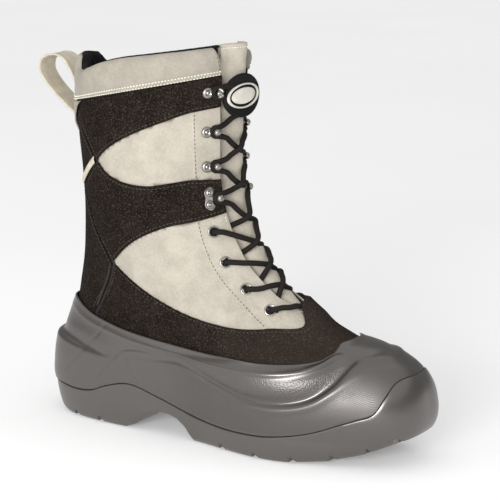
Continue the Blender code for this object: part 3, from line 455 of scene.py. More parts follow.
def crease_depth(points):
    """How deep the canvas is creased at each point."""
    depth = np.zeros(points.shape[:-1])
    for w0, z0, w1, z1, deep, width in CREASES:
        for mirror in (1, -1):
            ends = at_height(np.array([w0, w1]) * mirror, np.array([z0, z1], float))
            distance, share = nearest(points, *ends)
            fade = np.sin(math.pi * np.clip(share * 0.9 + 0.05, 0, 1))
            depth += deep * fade * (bump(distance, width) - 0.45 * bump(distance - 2.1 * width,
                                                                        width))
    return depth


def engraving(points):
    """How near each point is to an engraved line, 1 on the line."""
    near = np.zeros(points.shape[:-1])
    for track in ENGRAVED:
        ways, heights = np.array(track, float).T
        fine = np.linspace(0, 1, 13)
        run = np.linspace(0, 1, len(ways))
        w, z = smooth(fine, run, ways), smooth(fine, run, heights)
        for mirror in (1, -1):
            corner = at_height(w * mirror, z, body_out(w * mirror, z))
            for start, end in zip(corner[:-1], corner[1:]):
                distance, _ = nearest(points, start, end)
                near = np.maximum(near, bump(distance, 0.75))
    return near


# --------------------------------------------------------------------- modelling helpers


def to_frame(points):
    """Millimetres from the back of the last, as metres in the frame."""
    return (np.asarray(points, float) + (LAST_BACK, 0, 0)) * MM


def clear_selection():
    if bpy.context.mode != "OBJECT":
        bpy.ops.object.mode_set(mode="OBJECT")
    bpy.ops.object.select_all(action="DESELECT")


def activate(piece):
    clear_selection()
    piece.select_set(True)
    bpy.context.view_layer.objects.active = piece


def points_of(piece):
    points = np.empty(len(piece.data.vertices) * 3)
    piece.data.vertices.foreach_get("co", points)
    return points.reshape(-1, 3)


def on_side(w, side):
    """The turn that lies this way from the back on a side."""
    return w if side == "lateral" else 1 - w


def other_side(side):
    return "medial" if side == "lateral" else "lateral"


def move_points(piece, points):
    piece.data.vertices.foreach_set("co", np.asarray(points, np.float32).ravel())
    piece.data.update()


def chart_cloth(piece, flat):
    """Give a piece its own UV map, "cloth", in millimetres of the flat pattern."""
    mesh = piece.data
    while mesh.uv_layers:
        mesh.uv_layers.remove(mesh.uv_layers[0])
    layer = mesh.uv_layers.new(name="cloth")
    corner = np.empty(len(mesh.loops), int)
    mesh.loops.foreach_get("vertex_index", corner)
    layer.data.foreach_set("uv", np.asarray(flat, np.float32)[corner, :2].ravel())


def mark(piece, name, values):
    """Keep a number for each point of the mesh, for the materials to read."""
    attribute = piece.data.attributes.new(name, "FLOAT", "POINT")
    attribute.data.foreach_set("value", np.asarray(values, np.float32))


def add_modifier(piece, kind, **settings):
    """Add a modifier to a piece and apply it."""
    activate(piece)
    modifier = piece.modifiers.new(kind.lower(), kind)
    for key, value in settings.items():
        setattr(modifier, key, value)
    bpy.ops.object.modifier_apply(modifier=modifier.name)


def add_grid(name, columns, rows):
    """A grid primitive, one unit square with its corner at the origin."""
    clear_selection()
    bpy.ops.mesh.primitive_grid_add(x_subdivisions=columns, y_subdivisions=rows, size=1,
                                    location=(0.5, 0.5, 0))
    piece = bpy.context.object
    bpy.ops.object.transform_apply(location=True, rotation=True, scale=True)
    piece.name = piece.data.name = name
    return piece


def pattern(name, length, height, cell, thickness=0.0, edge=0.0):
    """A flat piece in millimetres, with its thickness above it and its rim rounded."""
    piece = add_grid(name, max(2, round(length / cell)), max(2, round(height / cell)))
    activate(piece)
    bpy.ops.transform.resize(value=(length, height, 1), center_override=(0, 0, 0))
    bpy.ops.object.transform_apply(location=True, rotation=True, scale=True)
    if thickness:
        add_modifier(piece, "SOLIDIFY", thickness=thickness, offset=1)
    if edge:
        round_edges(piece, edge)
    return piece


def lay(piece, place, length, height):
    """Lay a flat piece on the boot: place takes shares of its length and height and its depth."""
    flat = points_of(piece)
    chart_cloth(piece, flat)
    points = place(flat[:, 0] / length, flat[:, 1] / height, flat[:, 2])
    move_points(piece, to_frame(points))
    face_outwards(piece)


def edit_all(piece, operator, **settings):
    """Run one edit-mode operator on the whole of a piece."""
    activate(piece)
    bpy.ops.object.mode_set(mode="EDIT")
    bpy.ops.mesh.select_all(action="SELECT")
    operator(**settings)
    bpy.ops.object.mode_set(mode="OBJECT")


def merge_seam(piece, distance=0.00001):
    edit_all(piece, bpy.ops.mesh.remove_doubles, threshold=distance)


def face_outwards(piece):
    edit_all(piece, bpy.ops.mesh.normals_make_consistent, inside=False)


def round_edges(piece, width):
    add_modifier(piece, "BEVEL", width=width, segments=2, limit_method="ANGLE",
                 angle_limit=math.radians(60))


def extruded(name, corners, shift):
    """A flat outline through the given corners, drawn out by shift."""
    clear_selection()
    bpy.ops.mesh.primitive_circle_add(vertices=len(corners), radius=1, fill_type="NGON")
    piece = bpy.context.object
    piece.name = name
    move_points(piece, corners)
    edit_all(piece, bpy.ops.mesh.extrude_region_move, TRANSFORM_OT_translate={"value": shift})
    face_outwards(piece)
    return piece


def bent_grid(name, points, place=to_frame):
    """A grid primitive bent to rows and columns of points."""
    rows, columns = points.shape[:2]
    piece = add_grid(name, columns - 1, rows - 1)
    flat = points_of(piece)
    c = np.rint(flat[:, 0] * (columns - 1)).astype(int)
    r = np.rint(flat[:, 1] * (rows - 1)).astype(int)
    along = np.linalg.norm(np.diff(points, axis=1), axis=2).mean(axis=0)
    across = np.linalg.norm(np.diff(points, axis=0), axis=2).mean(axis=1)
    chart_cloth(piece, np.stack([summed(along)[c], summed(across)[r]], -1))
    move_points(piece, place(points[r, c]))
    return piece, r, c


def shares(columns, rows):
    """Shares across and up a grid, for each of its points."""
    return np.meshgrid(np.linspace(0, 1, columns + 1), np.linspace(0, 1, rows + 1))


def ring_levels(turns, levels):
    """Rows of points round the boot from rows of heights and distances out."""
    return np.stack([at_height(turns, height, out) for height, out in levels])


def dress(piece, slot, look, *nodes, angle=45):
    """Give a finished piece its material and its place in the frame, and hide the parts it
    replaces.
    """
    piece.data.materials.clear()
    piece.data.materials.append(look)
    activate(piece)
    bpy.ops.object.shade_smooth_by_angle(angle=math.radians(angle))
    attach(piece, "root")
    if nodes:
        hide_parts(*nodes)
    return piece


def join(pieces, name):
    clear_selection()
    for piece in pieces:
        piece.select_set(True)
    bpy.context.view_layer.objects.active = pieces[0]
    bpy.ops.object.join()
    joined = bpy.context.object
    joined.name = joined.data.name = name
    return joined


def axes_at(u, z, out=0.0):
    """A place on the last with its axes: to the throat, along the boot, and outwards."""
    origin = at_height(u, z, out)
    ahead = at_height(u + (0.004 if u < 0.5 else -0.004), z, out) - origin
    third = unit(at_height(u, z, out + 1.0) - origin)
    first = unit(ahead - third * (ahead @ third))
    return origin, np.stack([first, np.cross(third, first), third])


def put(piece, origin, axes):
    """Put a piece modelled about the origin in millimetres in its place on the boot."""
    move_points(piece, to_frame(origin + points_of(piece) @ axes))
    if np.linalg.det(axes) < 0:
        face_outwards(piece)


def run_along(points):
    """How far each point is along a line of points."""
    return summed(np.linalg.norm(np.diff(points, axis=0), axis=1))


def through(points, spacing):
    """Points about this far apart on a smooth curve through the given ones."""
    points = np.asarray(points, float)
    run = run_along(points)
    fine = np.linspace(0, run[-1], max(3, int(run[-1] / spacing) + 1))
    return np.stack([smooth(fine, run, points[:, k]) for k in range(points.shape[1])], -1)


def tube(name, centre, radius, sides=12, place=to_frame):
    """A round cord along a line of points in millimetres, with rounded ends."""
    tangent = unit(np.gradient(centre, axis=0))
    side = np.zeros_like(centre)
    start = np.cross(tangent[0], (0.3, 0.5, 1.0))
    side[0] = start / np.linalg.norm(start)
    for i in range(1, len(centre)):
        level = side[i - 1] - tangent[i] * (side[i - 1] @ tangent[i])
        side[i] = level / np.linalg.norm(level)
    other = np.cross(tangent, side)
    turn = np.linspace(0, 2 * math.pi, sides + 1)[:, None, None]
    size = np.ones(len(centre))
    size[:3] = (0.0, 0.55, 0.88)
    size[-3:] = (0.88, 0.55, 0.0)
    reach = (np.cos(turn) * side + np.sin(turn) * other) * (radius * size)[:, None]
    piece, _, _ = bent_grid(name, centre + reach, place)
    merge_seam(piece, 0.00001 if place is to_frame else 0.001)
    face_outwards(piece)
    return piece


# ----------------------------------------------------------------------------- materials


class Signal:
    """A number that varies over a surface, written with ordinary sums and products."""

    def __init__(self, look, socket):
        self.look = look
        self.socket = socket

    def math(self, operation, *others, first=None):
        inputs = {0: self if first is None else first}
        for slot, other in enumerate(others, 1):
            inputs[slot] = other
        return Signal(self.look, self.look.node("ShaderNodeMath", {"operation": operation}, inputs))

    def __add__(self, other):
        return self.math("ADD", other)

    __radd__ = __add__

    def __sub__(self, other):
        return self.math("SUBTRACT", other)

    def __rsub__(self, other):
        return self.math("SUBTRACT", self, first=other)

    def __mul__(self, other):
        return self.math("MULTIPLY", other)

    __rmul__ = __mul__

    def __pow__(self, other):
        return self.math("POWER", other)

    def sine(self):
        return self.math("SINE")

    def size(self):
        return self.math("ABSOLUTE")

    def most(self, other):
        return self.math("MAXIMUM", other)

    def least(self, other):
        return self.math("MINIMUM", other)

    def between(self, low, high):
        """0 below low, 1 above high, and soft between them."""
        return Signal(self.look, self.look.node(
            "ShaderNodeMapRange", {"interpolation_type": "SMOOTHSTEP"},
            {"Value": self, "From Min": low, "From Max": high}))


class Look:
    """A material under construction."""

    def __init__(self, name, **constants):
        self.material = bpy.data.materials.new(name)
        self.material.use_nodes = True
        self.tree = self.material.node_tree
        self.shader = self.tree.nodes["Principled BSDF"]
        for socket, value in constants.items():
            self.shader.inputs[socket.replace("_", " ")].default_value = value

    def node(self, kind, settings, inputs, output=0):
        """Add a node with its settings first, then its sockets; give back one output."""
        made = self.tree.nodes.new(kind)
        for key, value in settings.items():
            setattr(made, key, value)
        for key, value in inputs.items():
            socket = made.inputs[key]
            if isinstance(value, Signal):
                value = value.socket
            if isinstance(value, bpy.types.NodeSocket):
                self.tree.links.new(value, socket)
            else:
                socket.default_value = value
        return made.outputs[output]

    def place(self):
        """Places on the piece, in metres."""
        return self.node("ShaderNodeTexCoord", {}, {}, "Object")

    def cloth(self):
        """The flat pattern's two directions, in millimetres."""
        chart = self.node("ShaderNodeUVMap", {"uv_map": "cloth"}, {})
        split = self.node("ShaderNodeSeparateXYZ", {}, {"Vector": chart}).node
        return Signal(self, split.outputs["X"]), Signal(self, split.outputs["Y"])

    def marked(self, name):
        return Signal(self, self.node("ShaderNodeAttribute", {"attribute_name": name}, {}, "Fac"))

    def noise(self, size_mm, detail=2.0, roughness=0.5):
        """Soft random variation from 0 to 1, with features of about this size."""
        return Signal(self, self.node("ShaderNodeTexNoise", {}, {
            "Vector": self.place(), "Scale": 1 / (size_mm * MM), "Detail": detail,
            "Roughness": roughness}))

    def cells(self, size_mm):
        """Distance from the middles of cells of about this size."""
        return Signal(self, self.node("ShaderNodeTexVoronoi", {"feature": "F1"}, {
            "Vector": self.place(), "Scale": 1 / (size_mm * MM)}, "Distance"))

    def blend(self, share, first, second):
        """A colour that goes from first to second as share goes from 0 to 1."""
        first, second = (each if isinstance(each, bpy.types.NodeSocket) else (*each, 1)
                         for each in (first, second))
        return self.node("ShaderNodeMix", {"data_type": "RGBA"}, {0: share, 6: first, 7: second}, 2)

    def feed(self, socket, value):
        if isinstance(value, Signal):
            value = value.socket
        self.tree.links.new(value, self.shader.inputs[socket])

    def relief(self, height, depth_mm, strength=1.0):
        """Raise the surface by this many millimetres where height is 1."""
        normal = self.node("ShaderNodeBump", {}, {
            "Height": height, "Distance": depth_mm * MM, "Strength": strength})
        self.tree.links.new(normal, self.shader.inputs["Normal"])
        return self.material


def tint(colour, factor):
    """A colour made lighter or darker."""
    return tuple(min(1.0, c * factor) for c in colour)


def weave(look, pitch):
    """A plain weave, from 0 in its gaps to 1 on its yarns."""
    across, up = look.cloth()
    turn = math.pi / pitch
    warp = (across * turn).sine() * (up * turn).sine()
    return warp.size() ** 0.6


def canvas_look(name, colour, pitch, shaded_under_suede=False):
    """Nylon canvas: fine plain weave, mottled, with painted shade in its hollows."""
    look = Look(name, Roughness=0.82, Sheen_Weight=0.08, Sheen_Roughness=0.4)
    yarns = weave(look, pitch)
    broad = look.noise(14, 3)
    fine = look.noise(1.6, 2)
    # Random mottle, and painted shade: the gaps between the yarns are darker.
    shade = (broad.between(0.3, 0.7) * 0.45 + fine.between(0.25, 0.75) * 0.35
             + (1 - yarns) * 0.35)
    cloth = look.blend(shade.least(1.0), tint(colour, 1.08), tint(colour, 0.74))
    # Painted shade: where the suede lies over the canvas, the canvas is painted near black.
    if shaded_under_suede:
        cloth = look.blend(look.marked("shown"), (0.012, 0.010, 0.009), cloth)
    look.feed("Base Color", cloth)
    return look.relief(yarns * 0.5 + fine * 0.6 + broad * 0.4, 0.22, 0.7)


def suede_look(colour):
    """Brushed suede: a short nap in clumps with lighter specks, and painted light towards the toe.
    """
    look = Look("dark_suede", Roughness=0.95, Specular_IOR_Level=0.06)
    nap = look.noise(0.9, 3, 0.7)
    clumps = look.noise(6, 3)
    brushed = look.noise(28, 2)
    specks = look.noise(1.1, 2, 0.7).between(0.50, 0.72)
    shade = clumps.between(0.35, 0.65) * 0.45 + brushed.between(0.35, 0.65) * 0.55
    # Painted light: the suede gets lighter from the middle of the boot towards its toe.
    where = look.node("ShaderNodeSeparateXYZ", {}, {"Vector": look.place()})
    painted_front_light = Signal(look, where).between(-0.03, 0.10)
    skin = look.blend(shade, tint(colour, 0.4), tint(colour, 0.85))
    skin = look.blend(painted_front_light * 0.6, skin, tint(colour, 2.0))
    skin = look.blend(specks * 0.7, skin, tint(colour, 4.6))
    look.feed("Base Color", skin)
    return look.relief(nap + clumps * 0.5, 0.35, 0.85)


def rubber_look(name, colour, dot_pitch):
    """Moulded rubber: satin, with a dotted panel, a leathery band and fine flow marks."""
    look = Look(name, IOR=1.8, Specular_IOR_Level=0.75, Specular_Tint=(1, 0.95, 0.92, 1))
    across, up = look.cloth()
    turn = 2 * math.pi / dot_pitch
    dots = ((across * turn).sine() * (up * turn).sine()).between(-0.2, 0.7)
    dotted = look.marked("dotted")
    leathery = look.marked("leathery")
    grain = look.cells(1.3).between(0.1, 0.75)
    flow = look.noise(9, 3)
    fine = look.noise(0.7, 2)
    dust = look.noise(34, 4).between(0.45, 0.75)
    shade = flow.between(0.3, 0.7) * 0.4 + dust * 0.5
    body = look.blend(shade, tint(colour, 0.92), tint(colour, 1.14))
    # Painted shade: the gaps between the moulded dots and the pits of the leathery grain are
    # darker.
    gaps = dotted * (1 - dots)
    body = look.blend(gaps * 0.8, body, tint(colour, 0.35))
    body = look.blend(leathery * (1 - grain) * 0.5, body, tint(colour, 0.55))
    # Painted shade in the engraved lines, the valley and the parting line.
    body = look.blend(look.marked("painted_crease_shade") * 0.8, body, tint(colour, 0.38))
    look.feed("Base Color", body)
    look.feed("Roughness", 0.26 + fine * 0.06 + dust * 0.06 + leathery * 0.12 + gaps * 0.3)
    return look.relief(dotted * dots * 0.16 + leathery * grain * 0.6 + fine * 0.06, 0.30, 0.6)


def metal_look(name, colour):
    """Nickel plate with a soft haze of handling."""
    look = Look(name, Metallic=1.0)
    haze = look.noise(2.2, 3).between(0.35, 0.7)
    tarnish = look.noise(5, 2).between(0.4, 0.8)
    look.feed("Base Color", look.blend(tarnish, colour, tint(colour, 0.55)))
    look.feed("Roughness", 0.24 + haze * 0.14)
    return look.relief(look.noise(0.8, 2), 0.03, 0.4)


def cord_look(colour):
    """A round braid: strands that cross round the cord."""
    look = Look("braided_cord", Roughness=0.75, Specular_IOR_Level=0.12)
    along, around = look.cloth()
    left = (along * 1.9 + around * 1.43).sine().size()
    right = (along * 1.9 - around * 1.43).sine().size()
    braid = left.most(right)
    fray = look.noise(0.5, 2)
    # Painted shade between the strands and painted light on their crests, with random fray.
    look.feed("Base Color", look.blend(braid * 0.7 + fray * 0.3, tint(colour, 0.35),
                                       tint(colour, 1.5)))
    return look.relief(braid + fray * 0.4, 0.35, 0.9)


def webbing_look(name, colour):
    """Woven tape: ribs along it, crossed by fine picks."""
    look = Look(name, Roughness=0.78, Sheen_Weight=0.08)
    along, across = look.cloth()
    ribs = (across * (math.pi / 1.1)).sine().size()
    picks = (along * (math.pi / 0.7)).sine().size()
    wear = look.noise(7, 3)
    height = ribs * 0.7 + picks * 0.4
    # Painted shade between the ribs and picks, with random wear.
    look.feed("Base Color", look.blend((1 - height).most(0) * 0.6 + wear.between(0.3, 0.7) * 0.4,
                                       tint(colour, 1.08), tint(colour, 0.66)))
    return look.relief(height, 0.25, 0.8)


def fleece_look(colour):
    """Curly pile, matt and dark."""
    look = Look("fleece", Roughness=1.0, Specular_IOR_Level=0.1, Sheen_Weight=0.05)
    curls = look.cells(2.6)
    pile = look.noise(0.9, 3, 0.7)
    # Painted shade between the curls, lighter on their tops, and random pile.
    look.feed("Base Color", look.blend(curls.between(0.0, 0.8) * 0.6 + pile * 0.4,
                                       tint(colour, 1.8), tint(colour, 0.3)))
    return look.relief(pile - curls * 0.8, 1.2, 1.0)


def plain_look(name, colour, roughness, grain_mm=1.2, depth_mm=0.06, spread=0.25, **constants):
    """A smooth finish with a light grain and uneven tone."""
    look = Look(name, **constants)
    grain = look.noise(grain_mm, 3)
    tone = look.noise(9, 2).between(0.3, 0.7)
    look.feed("Base Color", look.blend(tone * 0.6 + grain * 0.4, tint(colour, 1 - spread),
                                       tint(colour, 1 + spread)))
    look.feed("Roughness", grain * 0.12 + (roughness - 0.06))
    return look.relief(grain, depth_mm, 0.6)


# ------------------------------------------------------------------------ sizes, colours


def length(name, description, millimetres):
    """A size that a user may change."""
    return FloatProperty(name=name, description=description, default=millimetres * MM,
                         min=0.0001, max=0.1, precision=5, unit="LENGTH")


def colour(name, description, value):
    """A colour that a user may change."""
    return FloatVectorProperty(name=name, description=description, default=value,
                               subtype="COLOR", size=3, min=0.0, max=1.0)


class BootSizes(bpy.types.PropertyGroup):
    """Sizes of the boot's soft goods and fittings."""

    suede: length("Suede", "Thickness of the suede overlays", 1.3)
    canvas: length("Canvas", "Thickness of the canvas wall", 1.2)
    weave: length("Weave pitch", "Distance between the canvas's yarns", 0.8)
    stitch: length("Stitch length", "Length of one visible stitch", 2.1)
    pitch: length("Stitch pitch", "Distance from one stitch to the next", 3.0)
    thread: length("Thread", "Thickness of the sewing thread", 0.6)
    lace: length("Lace", "Diameter of the braided lace", 4.1)
    dots: length("Dot pitch", "Distance between the dots moulded in the panels", 1.5)
    loop_width: length("Loop width", "Width of the pull loop's tape", 20.0)
    loop_thickness: length("Loop thickness", "Thickness of the pull loop's tape", 1.6)


class BootColours(bpy.types.PropertyGroup):
    """Colours of the boot's finishes."""

    canvas: colour("Canvas", "Panels and eyestay", (0.455, 0.416, 0.346))
    # Painted shade: the panels' canvas made darker, for the cuff and the back tab.
    cuff: colour("Cuff", "Padded collar", (0.365, 0.334, 0.277))
    # Painted light: the panels' canvas made lighter, to lift the tongue out of the shade it lies
    # in.
    tongue: colour("Tongue", "Padded tongue", (0.60, 0.547, 0.455))
    suede: colour("Suede", "Overlays", (0.017, 0.0128, 0.0102))
    rubber: colour("Rubber", "Moulded lower", (0.024, 0.021, 0.019))
    tread: colour("Tread", "Outsole and toe bumper", (0.030, 0.026, 0.0235))
    tape: colour("Tape", "Pull loop and label", (0.62, 0.56, 0.44))
    fleece: colour("Fleece", "Lining", (0.007, 0.007, 0.008))
    nickel: colour("Nickel", "Eyelets and hooks", (0.36, 0.345, 0.32))
    badge: colour("Badge", "Moulded keeper", (0.008, 0.008, 0.0085))
    badge_light: colour("Badge ring", "Pale parts of the keeper", (0.60, 0.57, 0.51))
    lace: colour("Lace", "Braided cord", (0.014, 0.0115, 0.0105))
    thread_dark: colour("Dark thread", "Stitching on canvas and suede", (0.030, 0.024, 0.020))
    thread_light: colour("Light thread", "Stitching on the cuff", (0.84, 0.80, 0.71))
    felt: colour("Felt", "Footbed", (0.10, 0.10, 0.11))


def sizes():
    return bpy.context.scene.boot_sizes


def colours():
    return bpy.context.scene.boot_colours


def mm(name):
    return getattr(sizes(), name) / MM


FINISHES = {}


def finish(name):
    """The boot's material of this name, made when it is first asked for."""
    if name in FINISHES:
        return FINISHES[name]
    tones = colours()
    makers = {
        "side_canvas": lambda: canvas_look(name, tones.canvas, mm("weave"), shaded_under_suede=True),
        "cuff_canvas_painted_darker": lambda: canvas_look(name, tones.cuff, mm("weave")),
        "tongue_cloth_painted_lighter": lambda: canvas_look(name, tones.tongue, mm("weave")),
        "dark_suede": lambda: suede_look(tones.suede),
        "moulded_rubber": lambda: rubber_look(name, tones.rubber, mm("dots")),
        "tread_rubber": lambda: rubber_look(name, tones.tread, mm("dots")),
        "nickel_plate": lambda: metal_look(name, tones.nickel),
        "braided_cord": lambda: cord_look(tones.lace),
        "loop_tape": lambda: webbing_look(name, tones.tape),
        "fleece": lambda: fleece_look(tones.fleece),
        "felt": lambda: plain_look(name, tones.felt, 0.95, 0.8, 0.25, 0.4),
        "badge_black": lambda: plain_look(name, tones.badge, 0.6, 0.9, 0.04, 0.3,
                                          Specular_IOR_Level=0.12),
        "badge_pale": lambda: plain_look(name, tones.badge_light, 0.5, 0.9, 0.03, 0.12),
        "dark_thread": lambda: plain_look(name, tones.thread_dark, 0.75, 0.4, 0.1, 0.4),
        "light_thread": lambda: plain_look(name, tones.thread_light, 0.75, 0.4, 0.1, 0.15),
        # Painted highlight: the thread on the suede is made lighter than the suede, for the light
        # its stitches catch.
        "suede_thread_painted_light": lambda: plain_look(name, tint(tones.suede, 4.5), 0.85, 0.4, 0.1, 0.4),
        "piping_cord": lambda: plain_look(name, tones.suede, 0.8, 0.8, 0.12, 0.5),
    }
    FINISHES[name] = makers[name]()
    return FINISHES[name]


# -------------------------------------------------------------------------- moulded lower

SHELL_COLUMNS = 480
LID_ROWS = 24
SHELL_FLOOR = 6.8  # depths of the shell's underside and of the outsole's inside
OUTSOLE_BED = 7.0
RIM_OUT = 4.2      # the shell's rim: how far it stands out, and how far under the topline
RIM_DROP = 0.6


def lid(name, ring, height):
    """A floor across a closed ring of points, its heights given by a function of x and y."""
    half = (len(ring) - 1) // 2
    near = ring[:half + 1]
    far = ring[::-1][:half + 1]
    share = (1 - np.cos(np.linspace(0, math.pi, LID_ROWS + 1))) / 2
    grid = near + (far - near) * share[:, None, None]
    from_edge = np.linalg.norm(grid[:, :, None, :2] - ring[:, :2], axis=-1).min(-1)
    sink = height(grid[..., 0], grid[..., 1]) - grid[..., 2]
    grid[..., 2] += sink * np.clip(from_edge / 4.0, 0, 1)
    return bent_grid(name, grid)[0]


def closed(pieces, name):
    """Join a wall and its floors into one closed body."""
    body = join(pieces, name)
    merge_seam(body, 0.00002)
    face_outwards(body)
    return body


def ground_height(x, y=0):
    """The tread's height, the same right across the sole."""
    return np.interp(x, *np.array(GROUND, float).T)


def under_foot(u, depth):
    return read(FOOTBED, on_row(u, 0.0)[..., 0]) - depth


def below_footbed(depth):
    """A floor that follows the footbed's top at this depth."""
    return lambda x, y: read(FOOTBED, x) - depth


def rises(low, high, count):
    """Heights from low up to high, without the last."""
    return [low + (high - low) * share for share in np.arange(count) / count]


def shell_relief(u, z):
    """How the shell's wall stands out: a panel, a concave band over it, and a lip."""
    w = way(u)
    valley, lip, top = (shell_line(u, name) for name in ("valley", "lip", "topline"))
    deep = smooth(w, (0, 0.06, 0.12, 0.20, 0.28, 0.34, 0.40, 0.46, 0.50),
                  (1.6, 1.2, 0.15, 0.9, 2.2, 3.2, 3.5, 2.0, 0.7))
    above = z - valley
    trough = np.where(above > 0, bump(above, 6.5), bump(above, 2.0))
    shoulder = 0.2 * deep * bump(above + 4.2, 3.0)
    ridge = smooth(w, (0, 0.12, 0.22, 0.32, 0.44, 0.50), (0.1, 0.2, 0.7, 1.1, 1.0, 0.3))
    toe = step(w, 0.435, 0.46)
    dome = -0.7 * toe * np.where(above > -5, bump(above + 5, 1.2), bump(above + 5, 4.0))
    kick = 3.0 * bump(w, 0.034) * step(-z, -valley - 1.0, -valley + 3.5)
    face = body_out(u, z) - deep * trough + shoulder + dome + kick
    face = face + ridge * bump(z - lip, 1.3)
    blend = step(z, lip + 0.5 - 4.5 * toe, top - RIM_DROP)
    return face * (1 - blend) + RIM_OUT * blend


def build_shell():
    turns = np.linspace(0, 1, SHELL_COLUMNS + 1)
    parting, valley, lip, top = (shell_line(turns, name)
                                 for name in ("parting", "valley", "lip", "topline"))
    flat = np.ones_like(turns)
    floor = under_foot(turns, SHELL_FLOOR)
    rim = top - RIM_DROP
    heights = rises(parting + 0.6, valley, 34) + rises(valley, lip, 20) + rises(lip, rim, 9)
    levels = [(floor, body_out(turns, floor) - 2.0), (parting + 0.05, body_out(turns, parting) - 2),
              (parting + 0.1, body_out(turns, parting) - 0.25),
              (parting + 0.3, body_out(turns, parting) - 0.05)]
    first = len(levels)
    levels += [(z, shell_relief(turns, z)) for z in heights]
    last = len(levels)
    levels += [(rim, RIM_OUT * flat), (top - 0.2, 4.0 * flat), (top, 3.5 * flat),
               (top - 0.05, 3.0 * flat), (top - 0.5, 2.75 * flat), (top - 3, 2.7 * flat),
               (top - 12, 2.4 * flat), (floor + 12, 0.9 * flat), (floor + 2.6, 0.6 * flat)]
    points = ring_levels(turns, levels)
    lines = engraving(points[first:last])
    outward = unit(ring_levels(turns, [(z, out + 1) for z, out in levels[first:last]])
                   - points[first:last])
    points[first:last] -= outward * (0.45 * lines)[..., None]
    wall, r, c = bent_grid("shell_wall", points)
    u, z = turns[c], points[r, c, 2]
    w, above = way(u), points[r, c, 2] - shell_line(u, "valley")
    on_panel = step(-above, 1.5, 3.5) * step(z - parting[c], 1.0, 2.5)
    spread = step(w, 0.17, 0.24) * step(-w, -0.50, -0.46)
    mark(wall, "dotted", on_panel * spread)
    band = step(above, 1.0, 5.0) * step(-z, -lip[c] + 0.5, -lip[c] + 2.0)
    mark(wall, "leathery", band * step(w, 0.18, 0.24) * step(-w, -0.47, -0.44))
    # Painted shade: the engraved lines, the trough of the valley and the parting line are marked to
    # be darkened.
    groove = np.zeros(points.shape[:2])
    groove[first:last] = lines * 0.8
    deep = step(w, 0.17, 0.28) * step(-w, -0.50, -0.47)
    trough = step(above, -1.2, 0.2) * step(-above, -6.0, -4.0) * deep * 0.6
    parted = 0.35 * bump(z - parting[c], 0.7)
    mark(wall, "painted_crease_shade", np.maximum.reduce([groove[r, c], trough, parted * (r < first + 2)]))
    under = lid("shell_under", points[0], below_footbed(SHELL_FLOOR))
    bed = lid("shell_bed", points[-1], below_footbed(4.2))
    body = closed([wall, under, bed], "shell_body")
    dress(body, "shell_rubber", finish("moulded_rubber"), "shell", angle=50)


def prism(name, outline, near, far):
    """An outline in x and z drawn out from y = near to y = far, for cutting."""
    x, z = np.array(outline, float).T
    corners = to_frame(np.stack([x, np.full_like(x, near), z], -1))
    return extruded(name, corners, (0, (far - near) * MM, 0))


def cut_away(piece, cutters):
    """Cut every cutter out of a piece and throw the cutters away."""
    for cutter in cutters:
        add_modifier(piece, "BOOLEAN", operation="DIFFERENCE", solver="EXACT", object=cutter)
    for cutter in cutters:
        bpy.data.objects.remove(cutter, do_unlink=True)


def build_outsole():
    turns = np.linspace(0, 1, 361)
    parting = shell_line(turns, "parting")
    x = at_height(turns, 20.0, body_out(turns, 20.0))[:, 0]
    for _ in range(2):
        ground = ground_height(x)
        x = at_height(turns, ground, body_out(turns, ground))[:, 0]
    stands = 0.8
    levels = [(ground, body_out(turns, ground) - 2.4), (ground + 0.5, body_out(turns, ground) - 1),
              (ground + 1.5, body_out(turns, ground + 1) - 0.1)]
    levels += [(z, body_out(turns, z) + stands) for z in rises(ground + 3.2, parting - 1.0, 16)]
    edge = body_out(turns, parting)
    inner = under_foot(turns, OUTSOLE_BED)
    levels += [(parting - 1.0, edge + stands), (parting - 0.45, edge + 0.62),
               (parting - 0.15, edge + 0.2), (parting - 0.1, edge - 0.6)]
    levels += [(z, body_out(turns, z) - 1.8) for z in rises(parting - 0.1, inner, 5)]
    levels += [(inner, body_out(turns, inner) - 1.8)]
    points = ring_levels(turns, levels)
    wall, r, c = bent_grid("outsole_wall", points)
    # Painted shade along the parting line.
    mark(wall, "painted_crease_shade", 0.3 * bump(points[r, c, 2] - parting[c], 0.5) * (r > 18))
    tread = lid("outsole_tread", points[0], ground_height)
    bed = lid("outsole_bed", points[-1], below_footbed(OUTSOLE_BED))
    body = closed([wall, tread, bed], "outsole_body")
    cutters = []
    for at in NOTCHES:
        base = float(ground_height(at))
        outline = ((at - 3.8, base - 4), (at - 3.2, base + 0.8), (at - 1.4, base + 4.8),
                   (at + 0.8, base + 5.0), (at + 2.8, base + 1.6), (at + 3.8, base - 4))
        edge = points[2][np.abs(points[2][:, 0] - at) < 4]
        cutters.append(prism("notch", outline, -80, edge[:, 1].min() + 9))
        cutters.append(prism("notch", outline, edge[:, 1].max() - 9, 80))
    for x0, x1, y in CHANNELS:
        clear_selection()
        bpy.ops.mesh.primitive_cube_add(size=1)
        channel = bpy.context.object
        box = points_of(channel) * (x1 - x0, 4.0, 12.0) + ((x0 + x1) / 2, y, -2.5)
        move_points(channel, to_frame(box))
        cutters.append(channel)
    cut_away(body, cutters)
    dress(body, "outsole_rubber", finish("tread_rubber"), "outsole", angle=35)


def build_footbed():
    turns = np.linspace(0, 1, 241)
    inset = -3.3
    rows = [(under_foot(turns, 4.0), inset), (under_foot(turns, 1.2), inset),
            (under_foot(turns, 0.4), inset - 0.5), (under_foot(turns, 0.0), inset - 1.6)]
    points = ring_levels(turns, rows)
    wall = bent_grid("footbed_edge", points)[0]
    top = lid("footbed_top", points[-1], lambda x, y: read(FOOTBED, x) - 0.4 * bump(y, 14))
    under = lid("footbed_under", points[0], below_footbed(4.0))
    body = closed([wall, top, under], "footbed")
    dress(body, "insole_felt", finish("felt"), "insole")


# ------------------------------------------------------------------------------ the upper


